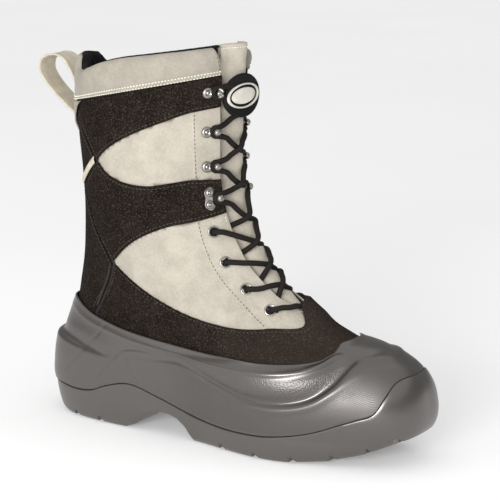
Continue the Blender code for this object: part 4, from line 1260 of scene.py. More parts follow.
def build_canvas():
    """The canvas wall with its eyestays and creases, open down the throat."""
    share, level = shares(440, 84)
    first = 1 + (2 * share[0] - 1) * 0.5
    foot = row_at(first, shell_line(first, "topline") - 7.0)
    v = foot + (COLLAR_SEAM_ROW + 0.02 - foot) * level
    u = 1 + (2 * share - 1) * throat_edge(v)
    z = on_row(u, v)[..., 2]
    bare = window(u, z)
    bulge = 0.9 * (1 - np.exp(-(np.maximum(bare, 0) / 8) ** 2))
    out = canvas_out(u, z) + bulge - crease_depth(on_row(u, v))
    grid = on_row(u, v, out)
    piece, r, c = bent_grid("canvas_wall", grid)
    # The canvas under the suede gets painted shade; this marks the canvas left bare.
    mark(piece, "shown", step(bare[r, c], -0.8, -0.2))
    merge_seam(piece)
    holes = [to_frame(at_height(turn, height)) for _, w, height in EYELETS
             for turn in (w, 1 - w)]
    activate(piece)
    centres = np.array([face.center[:] for face in piece.data.polygons])
    hit = np.zeros(len(centres), bool)
    for hole in holes:
        hit |= np.linalg.norm(centres - hole, axis=1) < 3.2 * MM
    bpy.ops.object.mode_set(mode="EDIT")
    bpy.ops.mesh.select_all(action="DESELECT")
    bpy.ops.object.mode_set(mode="OBJECT")
    piece.data.polygons.foreach_set("select", hit)
    bpy.ops.object.mode_set(mode="EDIT")
    bpy.ops.mesh.select_mode(type="FACE")
    bpy.ops.mesh.delete(type="FACE")
    bpy.ops.object.mode_set(mode="OBJECT")
    add_modifier(piece, "SOLIDIFY", thickness=mm("canvas") * MM, offset=-1)
    dress(piece, "canvas", finish("side_canvas"), "upper", angle=60)


def build_lining():
    """Dark fleece inside the boot, from the footbed up to the cuff."""
    share, level = shares(240, 60)
    v = 0.15 + (COLLAR_SEAM_ROW + 0.1 - 0.15) * level
    u = 1 + (2 * share - 1) * np.maximum(throat_edge(v) - 0.002, 0.3)
    random = np.random.default_rng(7)
    lumps = random.uniform(-0.25, 0.25, u.shape)
    lumps[:, -1] = lumps[:, 0]
    piece = bent_grid("fleece_lining", on_row(u, v, -1.7 + lumps))[0]
    merge_seam(piece)
    add_modifier(piece, "SOLIDIFY", thickness=1.3 * MM, offset=-1)
    dress(piece, "canvas", finish("fleece"), "upper", angle=60)


def lying(u, z):
    """How far an overlay that lies flat stands off the canvas."""
    return np.full_like(u, OVERLAY_GAP)


def overlay(name, ends, low, high, mirror=False, lift=lying):
    """A suede overlay between two seams, its ends given as turns."""
    start, end = ends
    turns = np.linspace(start, end, 120)
    ways = way(turns)
    track = at_height(turns, low(ways))
    run = float(np.linalg.norm(np.diff(track, axis=0), axis=1).sum())
    tall = float(np.max(high(ways) - low(ways)))
    piece = pattern(name, run, tall, 1.5, mm("suede"), 0.45)

    def place(s, t, depth):
        u = start + (end - start) * s
        w = way(u)
        z = low(w) + (high(w) - low(w)) * t
        turn = 1 - u if mirror else u
        return at_height(turn, z, canvas_out(turn, z) + lift(turn, z) + depth)

    lay(piece, place, run, tall)
    return piece


def build_bands():
    def seam_top(w):
        return on_row(w, COLLAR_SEAM_ROW)[..., 2] - 0.2

    def top_low(w):
        return np.minimum(top_band_low(w), seam_top(w) - 0.6)

    for side in SIDES:
        mirror = side == "medial"
        top = overlay("top_band_suede_" + side, TOP_BAND_ENDS, top_low, seam_top, mirror)
        mid = overlay("mid_band_suede_" + side, MID_BAND_ENDS, mid_band_low, mid_band_high, mirror)
        dress(top, "suede", finish("dark_suede"), "top_band_" + side, angle=60)
        dress(mid, "suede", finish("dark_suede"), "mid_band_" + side, angle=60)


def build_guard():
    def foot(w):
        return shell_line(w, "topline") - 4.0

    def head(w):
        return np.maximum(guard_high(w), foot(w) + 5.0)

    def tip(u, z):
        return OVERLAY_GAP + 3.4 * bump(u - 0.5, 0.026) * step(z, 90, 100)

    guard = overlay("vamp_guard_suede", GUARD_ENDS, foot, head, lift=tip)
    dress(guard, "suede", finish("dark_suede"), "vamp_guard", angle=60)


def build_back_strip():
    low, high = BACK_STRIP_EDGE[0][0], BACK_STRIP_EDGE[-1][0]
    run, tall = 90.0, float(high - low)
    piece = pattern("back_strip_suede", run, tall, 1.3, mm("suede"), 0.45)

    def place(s, t, depth):
        z = low + tall * t
        spread = line(BACK_STRIP_EDGE, z) - 0.0012
        turn = spread * (2 * s - 1)
        seam_ridge = 0.5 * bump(turn * 430, 1.4)
        return at_height(turn, z, OVERLAY_GAP + seam_ridge + depth)

    lay(piece, place, run, tall)
    dress(piece, "suede", finish("dark_suede"), "back_strip", angle=60)


def build_trims():
    """The tab at the back, the bare side label and the raised piping."""
    run, tall = 74.0, 24.0
    tab = pattern("backstay_tab_canvas", run, tall, 0.9, 1.1, 0.35)

    def place_tab(s, t, depth):
        turn = (0.066 + 0.074 * t) * (2 * s - 1)
        foot = 220 + 28 * (turn / 0.14) ** 2
        head = on_row(turn, 10.97)[..., 2]
        out = OVER_SUEDE - 0.6 + 1.3 * step(np.abs(turn), 0.064, 0.082)
        return at_height(turn, foot + (head - foot) * t, out + depth)

    lay(tab, place_tab, run, tall)
    dress(tab, "collar_canvas", finish("cuff_canvas_painted_darker"), "backstay_tab", angle=60)

    run, tall = 34.0, 5.2
    label = pattern("side_label_tape", run, tall, 0.6, 0.8, 0.25)

    def place_label(s, t, depth):
        w = 0.096 + 0.080 * s
        z = mid_band_high(w) + 1.2 + tall * t
        return at_height(w, z, 1.9 + 0.5 * np.sin(math.pi * t) + depth)

    lay(label, place_label, run, tall)
    dress(label, "label", finish("loop_tape"), "side_label", angle=60)

    for side in SIDES:
        ways, heights = np.array(PIPING, float).T
        path = through(at_height(on_side(ways, side), heights, 1.7), 0.8)
        cord = tube("piping_cord_" + side, path, 0.8)
        dress(cord, "piping", finish("piping_cord"), "piping_" + side, angle=80)


# ------------------------------------------------------------------------ collar and tongue


def closed_curve(points, count):
    """A smooth closed curve through points."""
    points = np.asarray(points, float)
    wrapped = np.concatenate([points[-3:], points, points[:4]])
    run = np.arange(-3, len(points) + 4, dtype=float)
    fine = np.linspace(0, len(points), count + 1)
    return np.stack([smooth(fine, run, wrapped[:, k]) for k in range(points.shape[1])], -1)


def cuff_height(u):
    """How far the cuff's crest rises and dips: a peak at the back, lower medially."""
    w = way(u)
    lateral = smooth(w, *np.transpose(CREST_LATERAL))
    medial = smooth(w, *np.transpose(CREST_MEDIAL))
    return np.where(np.asarray(u) % 1 > 0.5, medial, lateral)


def cuff_lean(u, rise):
    """How far the cuff leans inwards at the back."""
    return 3.4 * step(-way(u), -0.20, -0.06) * np.clip(rise * 2.5, 0, 1)


def cuff_points(u, rise, out):
    """Points of the cuff at turns, shares of its height and distances out."""
    points = on_row(u, COLLAR_SEAM_ROW + rise, out - cuff_lean(u, rise))
    points[..., 2] += CUFF_LIFT + cuff_height(u) * np.clip(rise, 0, None)
    return points


def build_collar():
    """The padded cuff from one side of the throat round the back, its ends closed."""
    section = closed_curve(COLLAR_SECTION, 60)
    far_end = CUFF_SPAN - CUFF_END
    ends = np.concatenate([np.linspace(0, CUFF_END, 4)[:-1], np.linspace(CUFF_END, far_end, 221),
                           np.linspace(far_end, CUFF_SPAN, 4)[1:]])
    turns = 1 - THROAT_EDGE + ends
    size = np.clip(np.minimum(ends, CUFF_SPAN - ends) / CUFF_END, 0, 1)
    size = np.sqrt(1 - (1 - size) ** 2) * 0.98 + 0.02
    middle = section.mean(axis=0)
    out = middle[0] + (section[:, :1] - middle[0]) * size
    rise = middle[1] + (section[:, 1:] - middle[1]) * size
    from_back = turns - 1
    u = 1 + from_back * (1 - CUFF_TAPER * np.clip(rise, 0, 1) * step(np.abs(from_back), 0.34, 0.44))
    w = way(u)
    puffs = (0.35 * np.sin(w * 61 + 1.0) + 0.25 * np.sin(w * 143 + u * 9)
             + 0.15 * np.sin(w * 260 - u * 21))
    out = out + puffs * np.clip(rise - 0.15, 0, 1) * step(section[:, :1], 0, 4)
    piece = bent_grid("collar_cuff", cuff_points(u, rise, out))[0]
    merge_seam(piece)
    activate(piece)
    bpy.ops.object.mode_set(mode="EDIT")
    bpy.ops.mesh.select_all(action="DESELECT")
    bpy.ops.mesh.select_mode(type="EDGE")
    bpy.ops.mesh.select_non_manifold(extend=False)
    bpy.ops.mesh.edge_face_add()
    bpy.ops.object.mode_set(mode="OBJECT")
    face_outwards(piece)
    dress(piece, "collar_canvas", finish("cuff_canvas_painted_darker"), "collar", angle=60)


def build_cuff_fleece():
    """Curly pile on the inside of the cuff, ragged along its crest."""
    columns, rows = 520, 30
    share, level = shares(columns, rows)
    turns = 1 - THROAT_EDGE + CUFF_END + (CUFF_SPAN - 2 * CUFF_END) * share
    random = np.random.default_rng(11)
    coarse = random.uniform(-1, 1, (rows // 3 + 2, columns // 4 + 2))
    r, c = level * rows / 3, share * columns / 4
    ri, ci = r.astype(int), c.astype(int)
    fr, fc = r - ri, c - ci
    fr, fc = step(fr, 0, 1), step(fc, 0, 1)
    tufts = ((coarse[ri, ci] * (1 - fr) + coarse[ri + 1, ci] * fr) * (1 - fc)
             + (coarse[ri, ci + 1] * (1 - fr) + coarse[ri + 1, ci + 1] * fr) * fc)
    over = step(level, 0.8, 1.0)
    rise = (np.interp(level, (0, 0.8, 0.92, 1), (-0.25, 0.90, 1.02, 1.05))
            + 0.05 * tufts * over)
    out = np.interp(level, (0, 0.25, 0.8, 0.92, 1), (-2.6, -5.4, -5.9, -3.6, -0.5)) + 0.8 * tufts
    piece = bent_grid("cuff_fleece", cuff_points(turns, rise, out))[0]
    add_modifier(piece, "SOLIDIFY", thickness=1.4 * MM, offset=0)
    face_outwards(piece)
    dress(piece, "collar_canvas", finish("fleece"), "collar", angle=80)


def tongue_shape(s, v):
    """Turn, and distance out, of the tongue's face at share s across it and row v."""
    half = TONGUE_HALF + 0.026 * step(-v, -10.6, -10.0)
    turn = 0.5 + half * s
    near = np.clip(1 - np.abs(s) * 0.082 / 0.058, 0, 1)
    crown = -3.9 + (3.3 - 0.8 * bump(v - 6.6, 1.1)) * np.sin(near * math.pi / 2) ** 1.5
    depth = -4.5
    return turn, depth + (crown - depth) * np.clip((v - 5.5) / 0.8, 0, 1)


def build_tongue():
    """The padded tongue, puckered where the laces press on it."""
    low, high = TONGUE_ROWS
    wide, tall, thick = 76.0, 205.0, 5.0
    piece = pattern("tongue_pad", wide, tall, 1.1, thick, 1.6)

    def place(s, t, depth):
        s = 2 * s - 1
        v = low + (high - low) * t
        turn, out = tongue_shape(s, v)
        z = on_row(turn, v)[..., 2]
        soft = np.zeros_like(z)
        for (_, _, z0), (_, _, z1) in zip(EYELETS, EYELET_RUNS):
            soft -= 0.7 * bump(z - (z0 + z1) / 2, 4.0)
        for height in TONGUE_PUCKERS:
            soft -= 0.7 * bump(z - height, 4.5)
        soft += 0.25 * np.sin(z * 0.31 + s * 4.0) * np.cos(s * 5.0 + z * 0.12)
        rim = step(v, 11.80, 11.84) * step(-v, -11.92, -11.88)
        soft -= 0.35 * rim
        face = depth / thick
        return on_row(turn, v, out - thick + depth + soft * face)

    lay(piece, place, wide, tall)
    dress(piece, "tongue_canvas", finish("tongue_cloth_painted_lighter"), "tongue", angle=60)


def build_loop():
    """The pull loop: one tape, out from the tab, over, and back to the cuff."""
    path = through([(x, 0, z) for x, z in LOOP_PATH], 0.9)
    width = mm("loop_width")
    across = np.linspace(-0.5, 0.5, 17)
    centre = path[None] + np.array([0, 1, 0]) * (across * width)[:, None, None]
    lift = 0.5 * (1 - (2 * across) ** 2)
    tangent = unit(np.gradient(path, axis=0))
    normal = np.stack([-tangent[:, 2], np.zeros(len(path)), tangent[:, 0]], -1)
    centre = centre - normal[None] * lift[:, None, None]
    piece = bent_grid("pull_loop_tape", centre)[0]
    add_modifier(piece, "SOLIDIFY", thickness=mm("loop_thickness") * MM, offset=0)
    round_edges(piece, 0.4 * MM)
    face_outwards(piece)
    dress(piece, "webbing", finish("loop_tape"), "pull_loop", angle=60)


# -------------------------------------------------------------------------------- metal


def turned(name, profile, steps=32):
    """A piece turned from a profile of radius and height in millimetres."""
    r, h = np.array(profile, float).T
    angle = np.linspace(0, 2 * math.pi, steps + 1)
    points = np.stack([r[:, None] * np.cos(angle), r[:, None] * np.sin(angle),
                       np.broadcast_to(h[:, None], (len(r), steps + 1))], -1)
    piece = bent_grid(name, points, np.asarray)[0]
    merge_seam(piece, 0.001)
    face_outwards(piece)
    return piece


def moved(piece, shift=(0, 0, 0), scale=(1, 1, 1)):
    move_points(piece, points_of(piece) * scale + shift)
    return piece


def plate(half):
    """A flat plate with a rounded rim, from the corners on one half of its outline."""
    mirrored = [(x, -y) for x, y in half[-2:0:-1]]
    x, y = closed_curve([*half, *mirrored], 40)[:-1].T
    piece = extruded("plate", np.stack([x, y, np.zeros_like(x)], -1), (0, 0, 1.0))
    round_edges(piece, 0.3)
    return piece


def rivet(radius, dish):
    """A domed rivet head with a dished middle and a raised ring."""
    return turned("rivet", ((0, 0.8), (radius * 1.05, 0.8), (radius, 1.6), (radius * 0.82, 2.3),
                            (radius * 0.62, 2.45), (radius * 0.48, 2.0), (radius * 0.36, 1.75),
                            (radius * 0.2, 1.8 + dish), (0, 1.9 + dish)))


def ball_stud(reach, radius, height):
    """A ball on a waisted neck, at the front end of a hook."""
    neck = turned("neck", ((0, 0.4), (2.3, 0.5), (1.5, 1.1), (1.15, 2.2), (1.3, height - 1.4),
                           (0, height - 1.0)), 20)
    angle = np.linspace(-math.pi / 2, math.pi / 2, 15)
    ring = np.stack([radius * np.cos(angle), height + radius * 0.92 * np.sin(angle)], -1)
    ring[0, 0] = ring[-1, 0] = 0
    ring[-3:, 1] -= (0.05, 0.30, 0.40)
    ball = turned("ball", ring, 28)
    return [moved(neck, (reach, 0, 0)), moved(ball, (reach, 0, 0))]


def hook_parts(kind, reach):
    """The plate, rivets, arms and ball of a hook, its ball this far from its middle."""
    if kind == "lock":
        pieces = [plate(((-3.4, 0.0), (-4.2, 5.4), (0.2, 8.6), (3.6, 6.0), (3.4, 2.4),
                         (reach + 2.4, 2.6), (reach + 3.2, 0.0)))]
        pieces += [moved(rivet(3.1, 0.35), (-0.2, at, -0.1)) for at in (4.4, -4.4)]
        return pieces + ball_stud(reach, 2.8, 4.4)
    if kind == "plate":
        pieces = [plate(((-4.0, 0.0), (-2.8, 3.0), (0.5, 4.1), (3.2, 3.0), (4.6, 2.2),
                         (6.4, 2.0), (6.8, 0.0))), rivet(4.0, 0.6)]
        for side in (1, -1):
            arm = through(((5.4, 1.6 * side, 0.6), (7.0, 2.4 * side, 1.4),
                           (reach + 0.5, 2.8 * side, 3.2), (reach + 2.4, 1.6 * side, 4.6),
                           (reach + 2.0, 0.1 * side, 5.2)), 0.5)
            pieces.append(tube("arm", arm, 1.05, 12, place=np.asarray))
        return pieces + ball_stud(reach, 2.2, 4.8)
    pieces = [plate(((-3.7, 0.0), (-2.6, 2.7), (0.4, 3.7), (2.8, 2.7), (reach - 1.2, 1.6),
                     (reach + 1.8, 1.8), (reach + 2.8, 0.0))), rivet(4.0, 0.5)]
    return pieces + ball_stud(reach, 2.7, 4.4)


def hook_place(name, side):
    """A hook's kind, the reach of its ball, its place on the boot and its axes."""
    _, kind, plate_w, ball_w, z = next(row for row in HOOKS if row[0] == name)
    u = on_side(plate_w, side)
    out = EYESTAY_RISE + (OVER_SUEDE if kind in ("plate", "lock") else 0.7) - 0.5
    reach = float(np.linalg.norm(at_height(ball_w, z) - at_height(plate_w, z)))
    return kind, reach, *axes_at(u, z, out)


def build_hooks():
    for name, *_ in HOOKS:
        for side in SIDES:
            kind, reach, origin, axes = hook_place(name, side)
            piece = join(hook_parts(kind, reach), name + "_metal_" + side)
            put(piece, origin, axes)
            dress(piece, "nickel", finish("nickel_plate"), f"{name}_{side}", angle=40)


def build_eyelets():
    profile = [(3.05, -2.4), (3.05, 0.8)]
    for angle in np.linspace(math.pi, 0, 11):
        profile.append((3.8 + 0.75 * math.cos(angle), 0.8 + 0.7 * math.sin(angle)))
    profile += [(4.55, 0.3), (3.45, 0.25), (3.45, -2.4), (3.05, -2.4)]
    # A black disc inside each eyelet: painted shade in its hole.
    hole_shade_disc = ((0, 0.2), (3.25, 0.2), (3.25, 0.75), (0, 0.75))
    for name, w, z in EYELETS:
        for side in SIDES:
            origin, axes = axes_at(on_side(w, side), z, EYESTAY_RISE + 0.1)
            for part, shape, look in (("metal", profile, "nickel_plate"),
                                      ("hole_shade_disc", hole_shade_disc, "badge_black")):
                ring = turned(f"{name}_{part}_{side}", shape, 40)
                put(ring, origin, axes)
                dress(ring, "nickel", finish(look), f"{name}_{side}", angle=50)


# -------------------------------------------------------------------------------- laces


def across_tongue(start, end, crossed):
    """Points of a lace over the tongue; its ends are a turn, a height and a distance out.

    A lace that rises from the lateral side passes over the other one of its pair, and
    keeps rising to the ridge of the tongue.
    """
    turn, height, ridge = CROSSED[crossed]
    rising = (end[0] > start[0]) == (end[1] > start[1])
    middle = [(turn, height)] + ([(0.511, ridge)] if rising else [])
    if end[0] < start[0]:
        middle.reverse()
    route = through(np.array([start[:2], *middle, end[:2]]) * (330, 1), 0.4) / (330, 1)
    run = np.linspace(0, len(route) - 1, 13)[1:-1]
    u, z = (np.interp(run, np.arange(len(route)), route[:, k]) for k in (0, 1))
    rows = np.interp(z, *edge_rows())
    _, face = tongue_shape(np.maximum(u - 0.5, 0) / TONGUE_HALF, rows)
    gap = 0.5 - throat_edge(rows)
    inside = gap - np.abs(u - 0.5)
    between = np.where(u < 0.5, np.clip(inside / (gap - 0.010), 0, 1), step(inside, 0, 0.028))
    rim = np.where(run < len(route) / 2, start[2], end[2])
    out = rim + (face + 1.9 - rim) * between
    if rising:
        out += 3.7 * bump(u - turn, 0.014)
    else:
        out -= 2.2 * step(u, turn + 0.002, turn + 0.018)
    if crossed == "hook_1":
        out -= 2.4 * step(inside, 0.0, 0.01)
    return list(at_height(u, z, out))


def round_hook(name, side, radius):
    """Points of a lace round a hook's neck, coming from below."""
    _, reach, origin, axes = hook_place(name, side)
    first, second, third = axes
    second = second if second[2] > 0 else -second
    centre = origin + first * reach + third * 1.7
    angles = np.radians(np.linspace(-75, -285, 8))
    return [centre + radius * (math.cos(a) * first + math.sin(a) * second) for a in angles]


def lace_run(side):
    """One long lace: from under a flap, round a hook on each level, and up to the keeper."""
    points = [at_height(on_side(0.420, side), 160.0, LACE_UNDER),
              at_height(on_side(0.434, side), 162.8, LACE_UNDER)]
    begin = (on_side(0.4405, side), 164.2, LACE_UNDER)
    levels = (("hook_4", 182.0, 188.0), ("hook_3", 205.5, 211.5), ("hook_2", 231.0, 237.0),
              ("hook_1", 259.0, 267.0))
    for name, arrive, leave in levels:
        side = other_side(side)
        points += across_tongue(begin, (on_side(0.445, side), arrive, LACE_OUT), name)
        points += round_hook(name, side, 3.6 if name == "hook_1" else 3.2)
        begin = (on_side(0.445, side), leave, LACE_OUT)
    end = on_side(0.478, side)
    points += [at_height(begin[0], leave, LACE_OUT), at_height((begin[0] + end) / 2, 267, 1.8),
               at_height(end, 265, -0.6), at_height(on_side(0.49, side), 262, -1.0)]
    return through(points, LACE_SPACING)


def build_laces():
    radius = mm("lace") / 2
    cord = finish("braided_cord")
    runs = [tube("run", lace_run(side), radius, LACE_SIDES) for side in SIDES]
    piece = join(runs, "lace_runs")
    dress(piece, "lace", cord, *(f"lace_crossing_{i}" for i in (1, 2, 3, 4)), angle=80)
    out_of_hole = ((0, 0, -4.5), (0, 0, -1.5), (0.001, 0, 1.0), (0.0055, -0.2, 3.2),
                   (0.014, -0.6, LACE_OUT + 0.1))
    for (_, w0, z0), (name, w1, z1) in zip(EYELETS, EYELET_RUNS):
        pair = []
        for side in SIDES:
            far = other_side(side)
            points = [at_height(on_side(w0 + w, side), z0 + z, out) for w, z, out in out_of_hole]
            points += across_tongue((on_side(w0 + 0.016, side), z0 - 0.8, LACE_OUT),
                                    (on_side(w1, far), z1, LACE_UNDER), name)
            points += [at_height(on_side(w1 - 0.005, far), z1 - 1.5, LACE_UNDER),
                       at_height(on_side(w1 - 0.018, far), z1 - 5, LACE_UNDER)]
            pair.append(tube("run", through(points, LACE_SPACING), radius, LACE_SIDES))
        dress(join(pair, name + "_cord"), "lace", cord, name, angle=80)
    _, w, z = EYELETS[-1]
    bar_end = ((0, 0, -4.5), (0, 0, -1.0), (0.0015, 0, 1.6), (0.007, 0, 3.9), (0.02, 0.6, 5.0))
    across = np.linspace(0.46, 0.54, 9)
    sunk = step(-np.abs(across - 0.5), -0.030, -0.014)
    points = [at_height(w + along, z + up, out) for along, up, out in bar_end]
    points += list(at_height(across, z + 0.9 * np.cos((across - 0.5) * 30), 4.4 - 3.2 * sunk))
    points += [at_height(1 - w - along, z + up, out) for along, up, out in bar_end[::-1]]
    bar = tube("lace_bar_cord", through(points, LACE_SPACING), radius, LACE_SIDES)
    dress(bar, "lace", cord, "lace_bar", angle=80)


KEEPER_PLACE = (166.8, -5.2, 258.6)
KEEPER_TURN = 12  # degrees from the front towards the lateral side


def cos_sin(degrees):
    return math.cos(math.radians(degrees)), math.sin(math.radians(degrees))


def build_badge():
    """The oval keeper at the top of the laces, with plain raised rings."""
    c, s = cos_sin(KEEPER_TURN)
    upright = np.array([[0, 0, -1], [s, c, 0], [c, -s, 0]], float)
    layers = (
        ("keeper_base", "badge_black", 0.90, 0.77, 4,
         ((0, 0), (20.6, 0), (21, 0.5), (21, 1.8), (20.4, 2.7), (19.4, 3.1), (18.6, 2.8),
          (0, 2.8))),
        ("keeper_ring", "badge_pale", 0.92, 0.50, 5,
         ((18.1, 2.6), (18.1, 3.3), (17.7, 3.7), (16.2, 3.8), (15.7, 3.4), (15.7, 2.6),
          (18.1, 2.6))),
        ("keeper_oval", "badge_pale", 0.92, 0.44, 5,
         ((0, 2.6), (13.4, 2.6), (13.4, 3.1), (12.8, 3.5), (8, 3.75), (0, 3.9))),
    )
    for name, look, wide, tall, tilt, profile in layers:
        piece = moved(turned(name, profile, 64), scale=(tall, wide, 1))
        shape = points_of(piece)
        c, s = cos_sin(tilt)
        x, y = shape[:, 0] * c - shape[:, 1] * s, shape[:, 0] * s + shape[:, 1] * c
        move_points(piece, np.stack([x, y, shape[:, 2] - (y / 21) ** 2 * 2.2], -1))
        put(piece, np.array(KEEPER_PLACE), upright)
        dress(piece, "badge_rubber", finish(look), "tongue_badge", angle=40)


# ----------------------------------------------------------------------------- stitching


def stitch_row(points, outward, pitch, long, thick):
    """Places and axes of the stitches of one row along a line of points."""
    run = run_along(points)
    at = np.arange(pitch / 2, run[-1], pitch)
    centre = np.stack([np.interp(at, run, points[:, k]) for k in range(3)], -1)
    ahead = np.stack([np.interp(at + 0.5, run, points[:, k]) for k in range(3)], -1)
    first = unit(ahead - centre)
    up = unit(np.stack([np.interp(at, run, outward[:, k]) for k in range(3)], -1))
    second = unit(np.cross(up, first))
    third = np.cross(first, second)
    size = np.array([long / 2, thick / 2, thick / 2])
    return centre, np.stack([first, second, third], 1) * size[:, None]


def seam_line(ways, heights, out, side):
    """A line of points on the boot, with the directions outwards."""
    turns = on_side(ways, side)
    points = at_height(turns, heights, out)
    return points, at_height(turns, heights, out + 1.0) - points


def sew(name, slot, look, lines, pitch, long, thick):
    """Sew rows of stitches: one is modelled and copied along every line."""
    clear_selection()
    bpy.ops.mesh.primitive_ico_sphere_add(subdivisions=1, radius=1)
    one = bpy.context.object
    shape = points_of(one)
    faces = np.array([face.vertices[:] for face in one.data.polygons])
    bpy.data.objects.remove(one, do_unlink=True)
    centres, axes = zip(*(stitch_row(points, outward, pitch, long, thick)
                          for points, outward in lines))
    centres, axes = np.concatenate(centres), np.concatenate(axes)
    points = centres[:, None] + np.einsum("pk,skj->spj", shape, axes)
    every = (faces[None] + (np.arange(len(centres)) * len(shape))[:, None, None]).reshape(-1, 3)
    mesh = bpy.data.meshes.new(name)
    mesh.from_pydata(to_frame(points.reshape(-1, 3)).tolist(), [], every.tolist())
    piece = bpy.data.objects.new(name, mesh)
    bpy.context.collection.objects.link(piece)
    dress(piece, slot, finish(look), angle=80)


def build_stitches():
    pitch, long, thread = mm("pitch"), mm("stitch"), mm("thread")
    dark, nap, pale = [], [], []
    face = mm("suede") + OVERLAY_GAP

    for side in SIDES:
        for low, high in ((94, 168), (200, 250)):
            z = np.linspace(low, high, 50)
            w = read(EYESTAY_SEAM, z) + 0.0030
            dark.append(seam_line(w, z, canvas_out(w, z) + 0.95, side))
        for low, high, lines in ((181, 196, dark), (204, 246, dark), (112, 172, pale)):
            v = np.interp(np.linspace(low, high, 40), *edge_rows())
            w = throat_edge(v) - 0.0045
            z = on_row(w, v)[..., 2]
            lines.append(seam_line(w, z, canvas_out(w, z) + 0.1, side))
        w = np.linspace(0.10, 0.437, 120)
        z = top_band_low(w) + STITCH_INSET
        nap.append(seam_line(w, z, canvas_out(w, z) + face, side))
        w = np.linspace(0.125, 0.437, 120)
        nap.append(seam_line(w, mid_band_high(w) - STITCH_INSET, canvas_out(w, 195) + face, side))
        nap.append(seam_line(w, mid_band_low(w) + STITCH_INSET, canvas_out(w, 165) + face, side))
        w = np.linspace(0.120, 0.462, 200)
        nap.append(seam_line(w, guard_high(w) - STITCH_INSET, canvas_out(w, 98) + face, side))
        z = np.linspace(90, 244, 120)
        w = line(BACK_STRIP_EDGE, z) - 0.0075
        nap.append(seam_line(w, z, face, side))
    rise = np.linspace(0.04, 0.97, 40)
    out = np.interp(rise, (0.04, 0.15, 0.28, 0.48, 0.68, 0.88, 0.97),
                    (3.9, 4.1, 5.1, 5.7, 5.4, 4.1, 2.2))
    for turn in (0.434 * (1 - CUFF_TAPER * rise), 1 - 0.434 * (1 - CUFF_TAPER * rise)):
        points = on_row(turn, COLLAR_SEAM_ROW + rise, out)
        points[:, 2] += cuff_height(turn) * rise
        dark.append((points, on_row(turn, COLLAR_SEAM_ROW + rise, out + 1.0) - points))
    sew("canvas_stitches", "suede", "dark_thread", dark, pitch, long, thread)
    sew("suede_stitches", "suede", "suede_thread_painted_light", nap, pitch, long, thread * 0.9)
    w = np.linspace(1 - THROAT_EDGE + 0.005, 1 + THROAT_EDGE - 0.005, 300)
    for rise, out in ((0.035, 3.9), (0.125, 4.45)):
        points = cuff_points(w, rise, out)
        ahead = on_row(w, COLLAR_SEAM_ROW + rise, out - cuff_lean(w, rise) + 1.0)
        pale.append((points, ahead - points))
    s = np.linspace(-0.94, 0.94, 60)
    turn, out = tongue_shape(s, TONGUE_HEM_ROW)
    points = on_row(turn, TONGUE_HEM_ROW, out - 0.25)
    pale.append((points, on_row(turn, TONGUE_HEM_ROW, out + 1.0) - points))
    sew("light_stitches", "collar_canvas", "light_thread", pale, 2.4, 1.9, thread * 1.5)


def edge_rows():
    """Heights along the throat's edge and the rows they lie on."""
    v = np.linspace(THROAT_FOOT_ROW, COLLAR_SEAM_ROW, 60)
    return on_row(throat_edge(v), v)[..., 2], v


# --------------------------------------------------------------------------------- stage

CAMERA_AZIMUTH = 31.0
CAMERA_ELEVATION = 12.5
CAMERA_DISTANCE = 1.4
CAMERA_TARGET = ((165 + LAST_BACK) * MM, 0.010, 0.140)
CAMERA_LENS = 134.57
LIGHT_TARGET = (0, 0, 0.12)
FLOOR_SIZE = 30.0
FLOOR_GLOW = 0.18
SKY_STRENGTH = 0.32


def direction(azimuth, elevation):
    """A direction seen from the boot: azimuth from its lateral side towards its toe."""
    a, e = math.radians(azimuth), math.radians(elevation)
    return Vector((math.sin(a) * math.cos(e), -math.cos(a) * math.cos(e), math.sin(e)))


def aimed(target, azimuth, elevation, distance):
    """A place seen from a target in this direction, and the turn that faces the target."""
    towards = direction(azimuth, elevation) * distance
    return target + towards, towards.to_track_quat("Z", "Y").to_euler()


def add_light(name, kind, azimuth, elevation, distance, energy, **settings):
    clear_selection()
    place, turn = aimed(Vector(LIGHT_TARGET), azimuth, elevation, distance)
    bpy.ops.object.light_add(type=kind, location=place, rotation=turn)
    light = bpy.context.object
    light.name = light.data.name = name
    light.data.energy = energy
    for key, value in settings.items():
        setattr(light.data, key, value)


def build_stage():
    clear_selection()
    bpy.ops.mesh.primitive_plane_add(size=FLOOR_SIZE, location=(0, 0, 0))
    floor = bpy.context.object
    floor.name = floor.data.name = "studio_floor"
    look = Look("studio_floor", Roughness=0.9, Specular_IOR_Level=0.1,
                Emission_Color=(1, 1, 1, 1), Emission_Strength=FLOOR_GLOW)
    tone = look.noise(400, 1).between(0.3, 0.7)
    look.feed("Base Color", look.blend(tone, (0.90, 0.90, 0.90), (0.92, 0.92, 0.92)))
    floor.data.materials.append(look.material)
    world = bpy.data.worlds.new("studio")
    world.use_nodes = True
    sky = world.node_tree.nodes["Background"]
    sky.inputs["Color"].default_value = (1, 1, 1, 1)
    sky.inputs["Strength"].default_value = SKY_STRENGTH
    bpy.context.scene.world = world
    bpy.context.scene.view_settings.view_transform = "Standard"
    add_light("key", "AREA", 12, 12, 1.7, 24, shape="RECTANGLE", size=0.8, size_y=0.45)
    add_light("above", "SUN", 20, 70, 3.0, 1.4, angle=math.radians(120))
    place, turn = aimed(Vector(CAMERA_TARGET), CAMERA_AZIMUTH, CAMERA_ELEVATION,
                        CAMERA_DISTANCE)
    bpy.ops.object.camera_add(location=place, rotation=turn)
    camera = bpy.context.object
    camera.data.lens = CAMERA_LENS
    camera.data.sensor_width = 36.0
    camera.data.clip_end = 50.0
    bpy.context.scene.camera = camera


# ----------------------------------------------------------------------------- operators


class BOOT_OT_lower(bpy.types.Operator):
    """Mould the rubber shell, the outsole and the footbed"""

    bl_idname = "boot.lower"
    bl_label = "Moulded lower"

    def execute(self, context):
        build_shell()
        build_outsole()
        build_footbed()
        return {"FINISHED"}


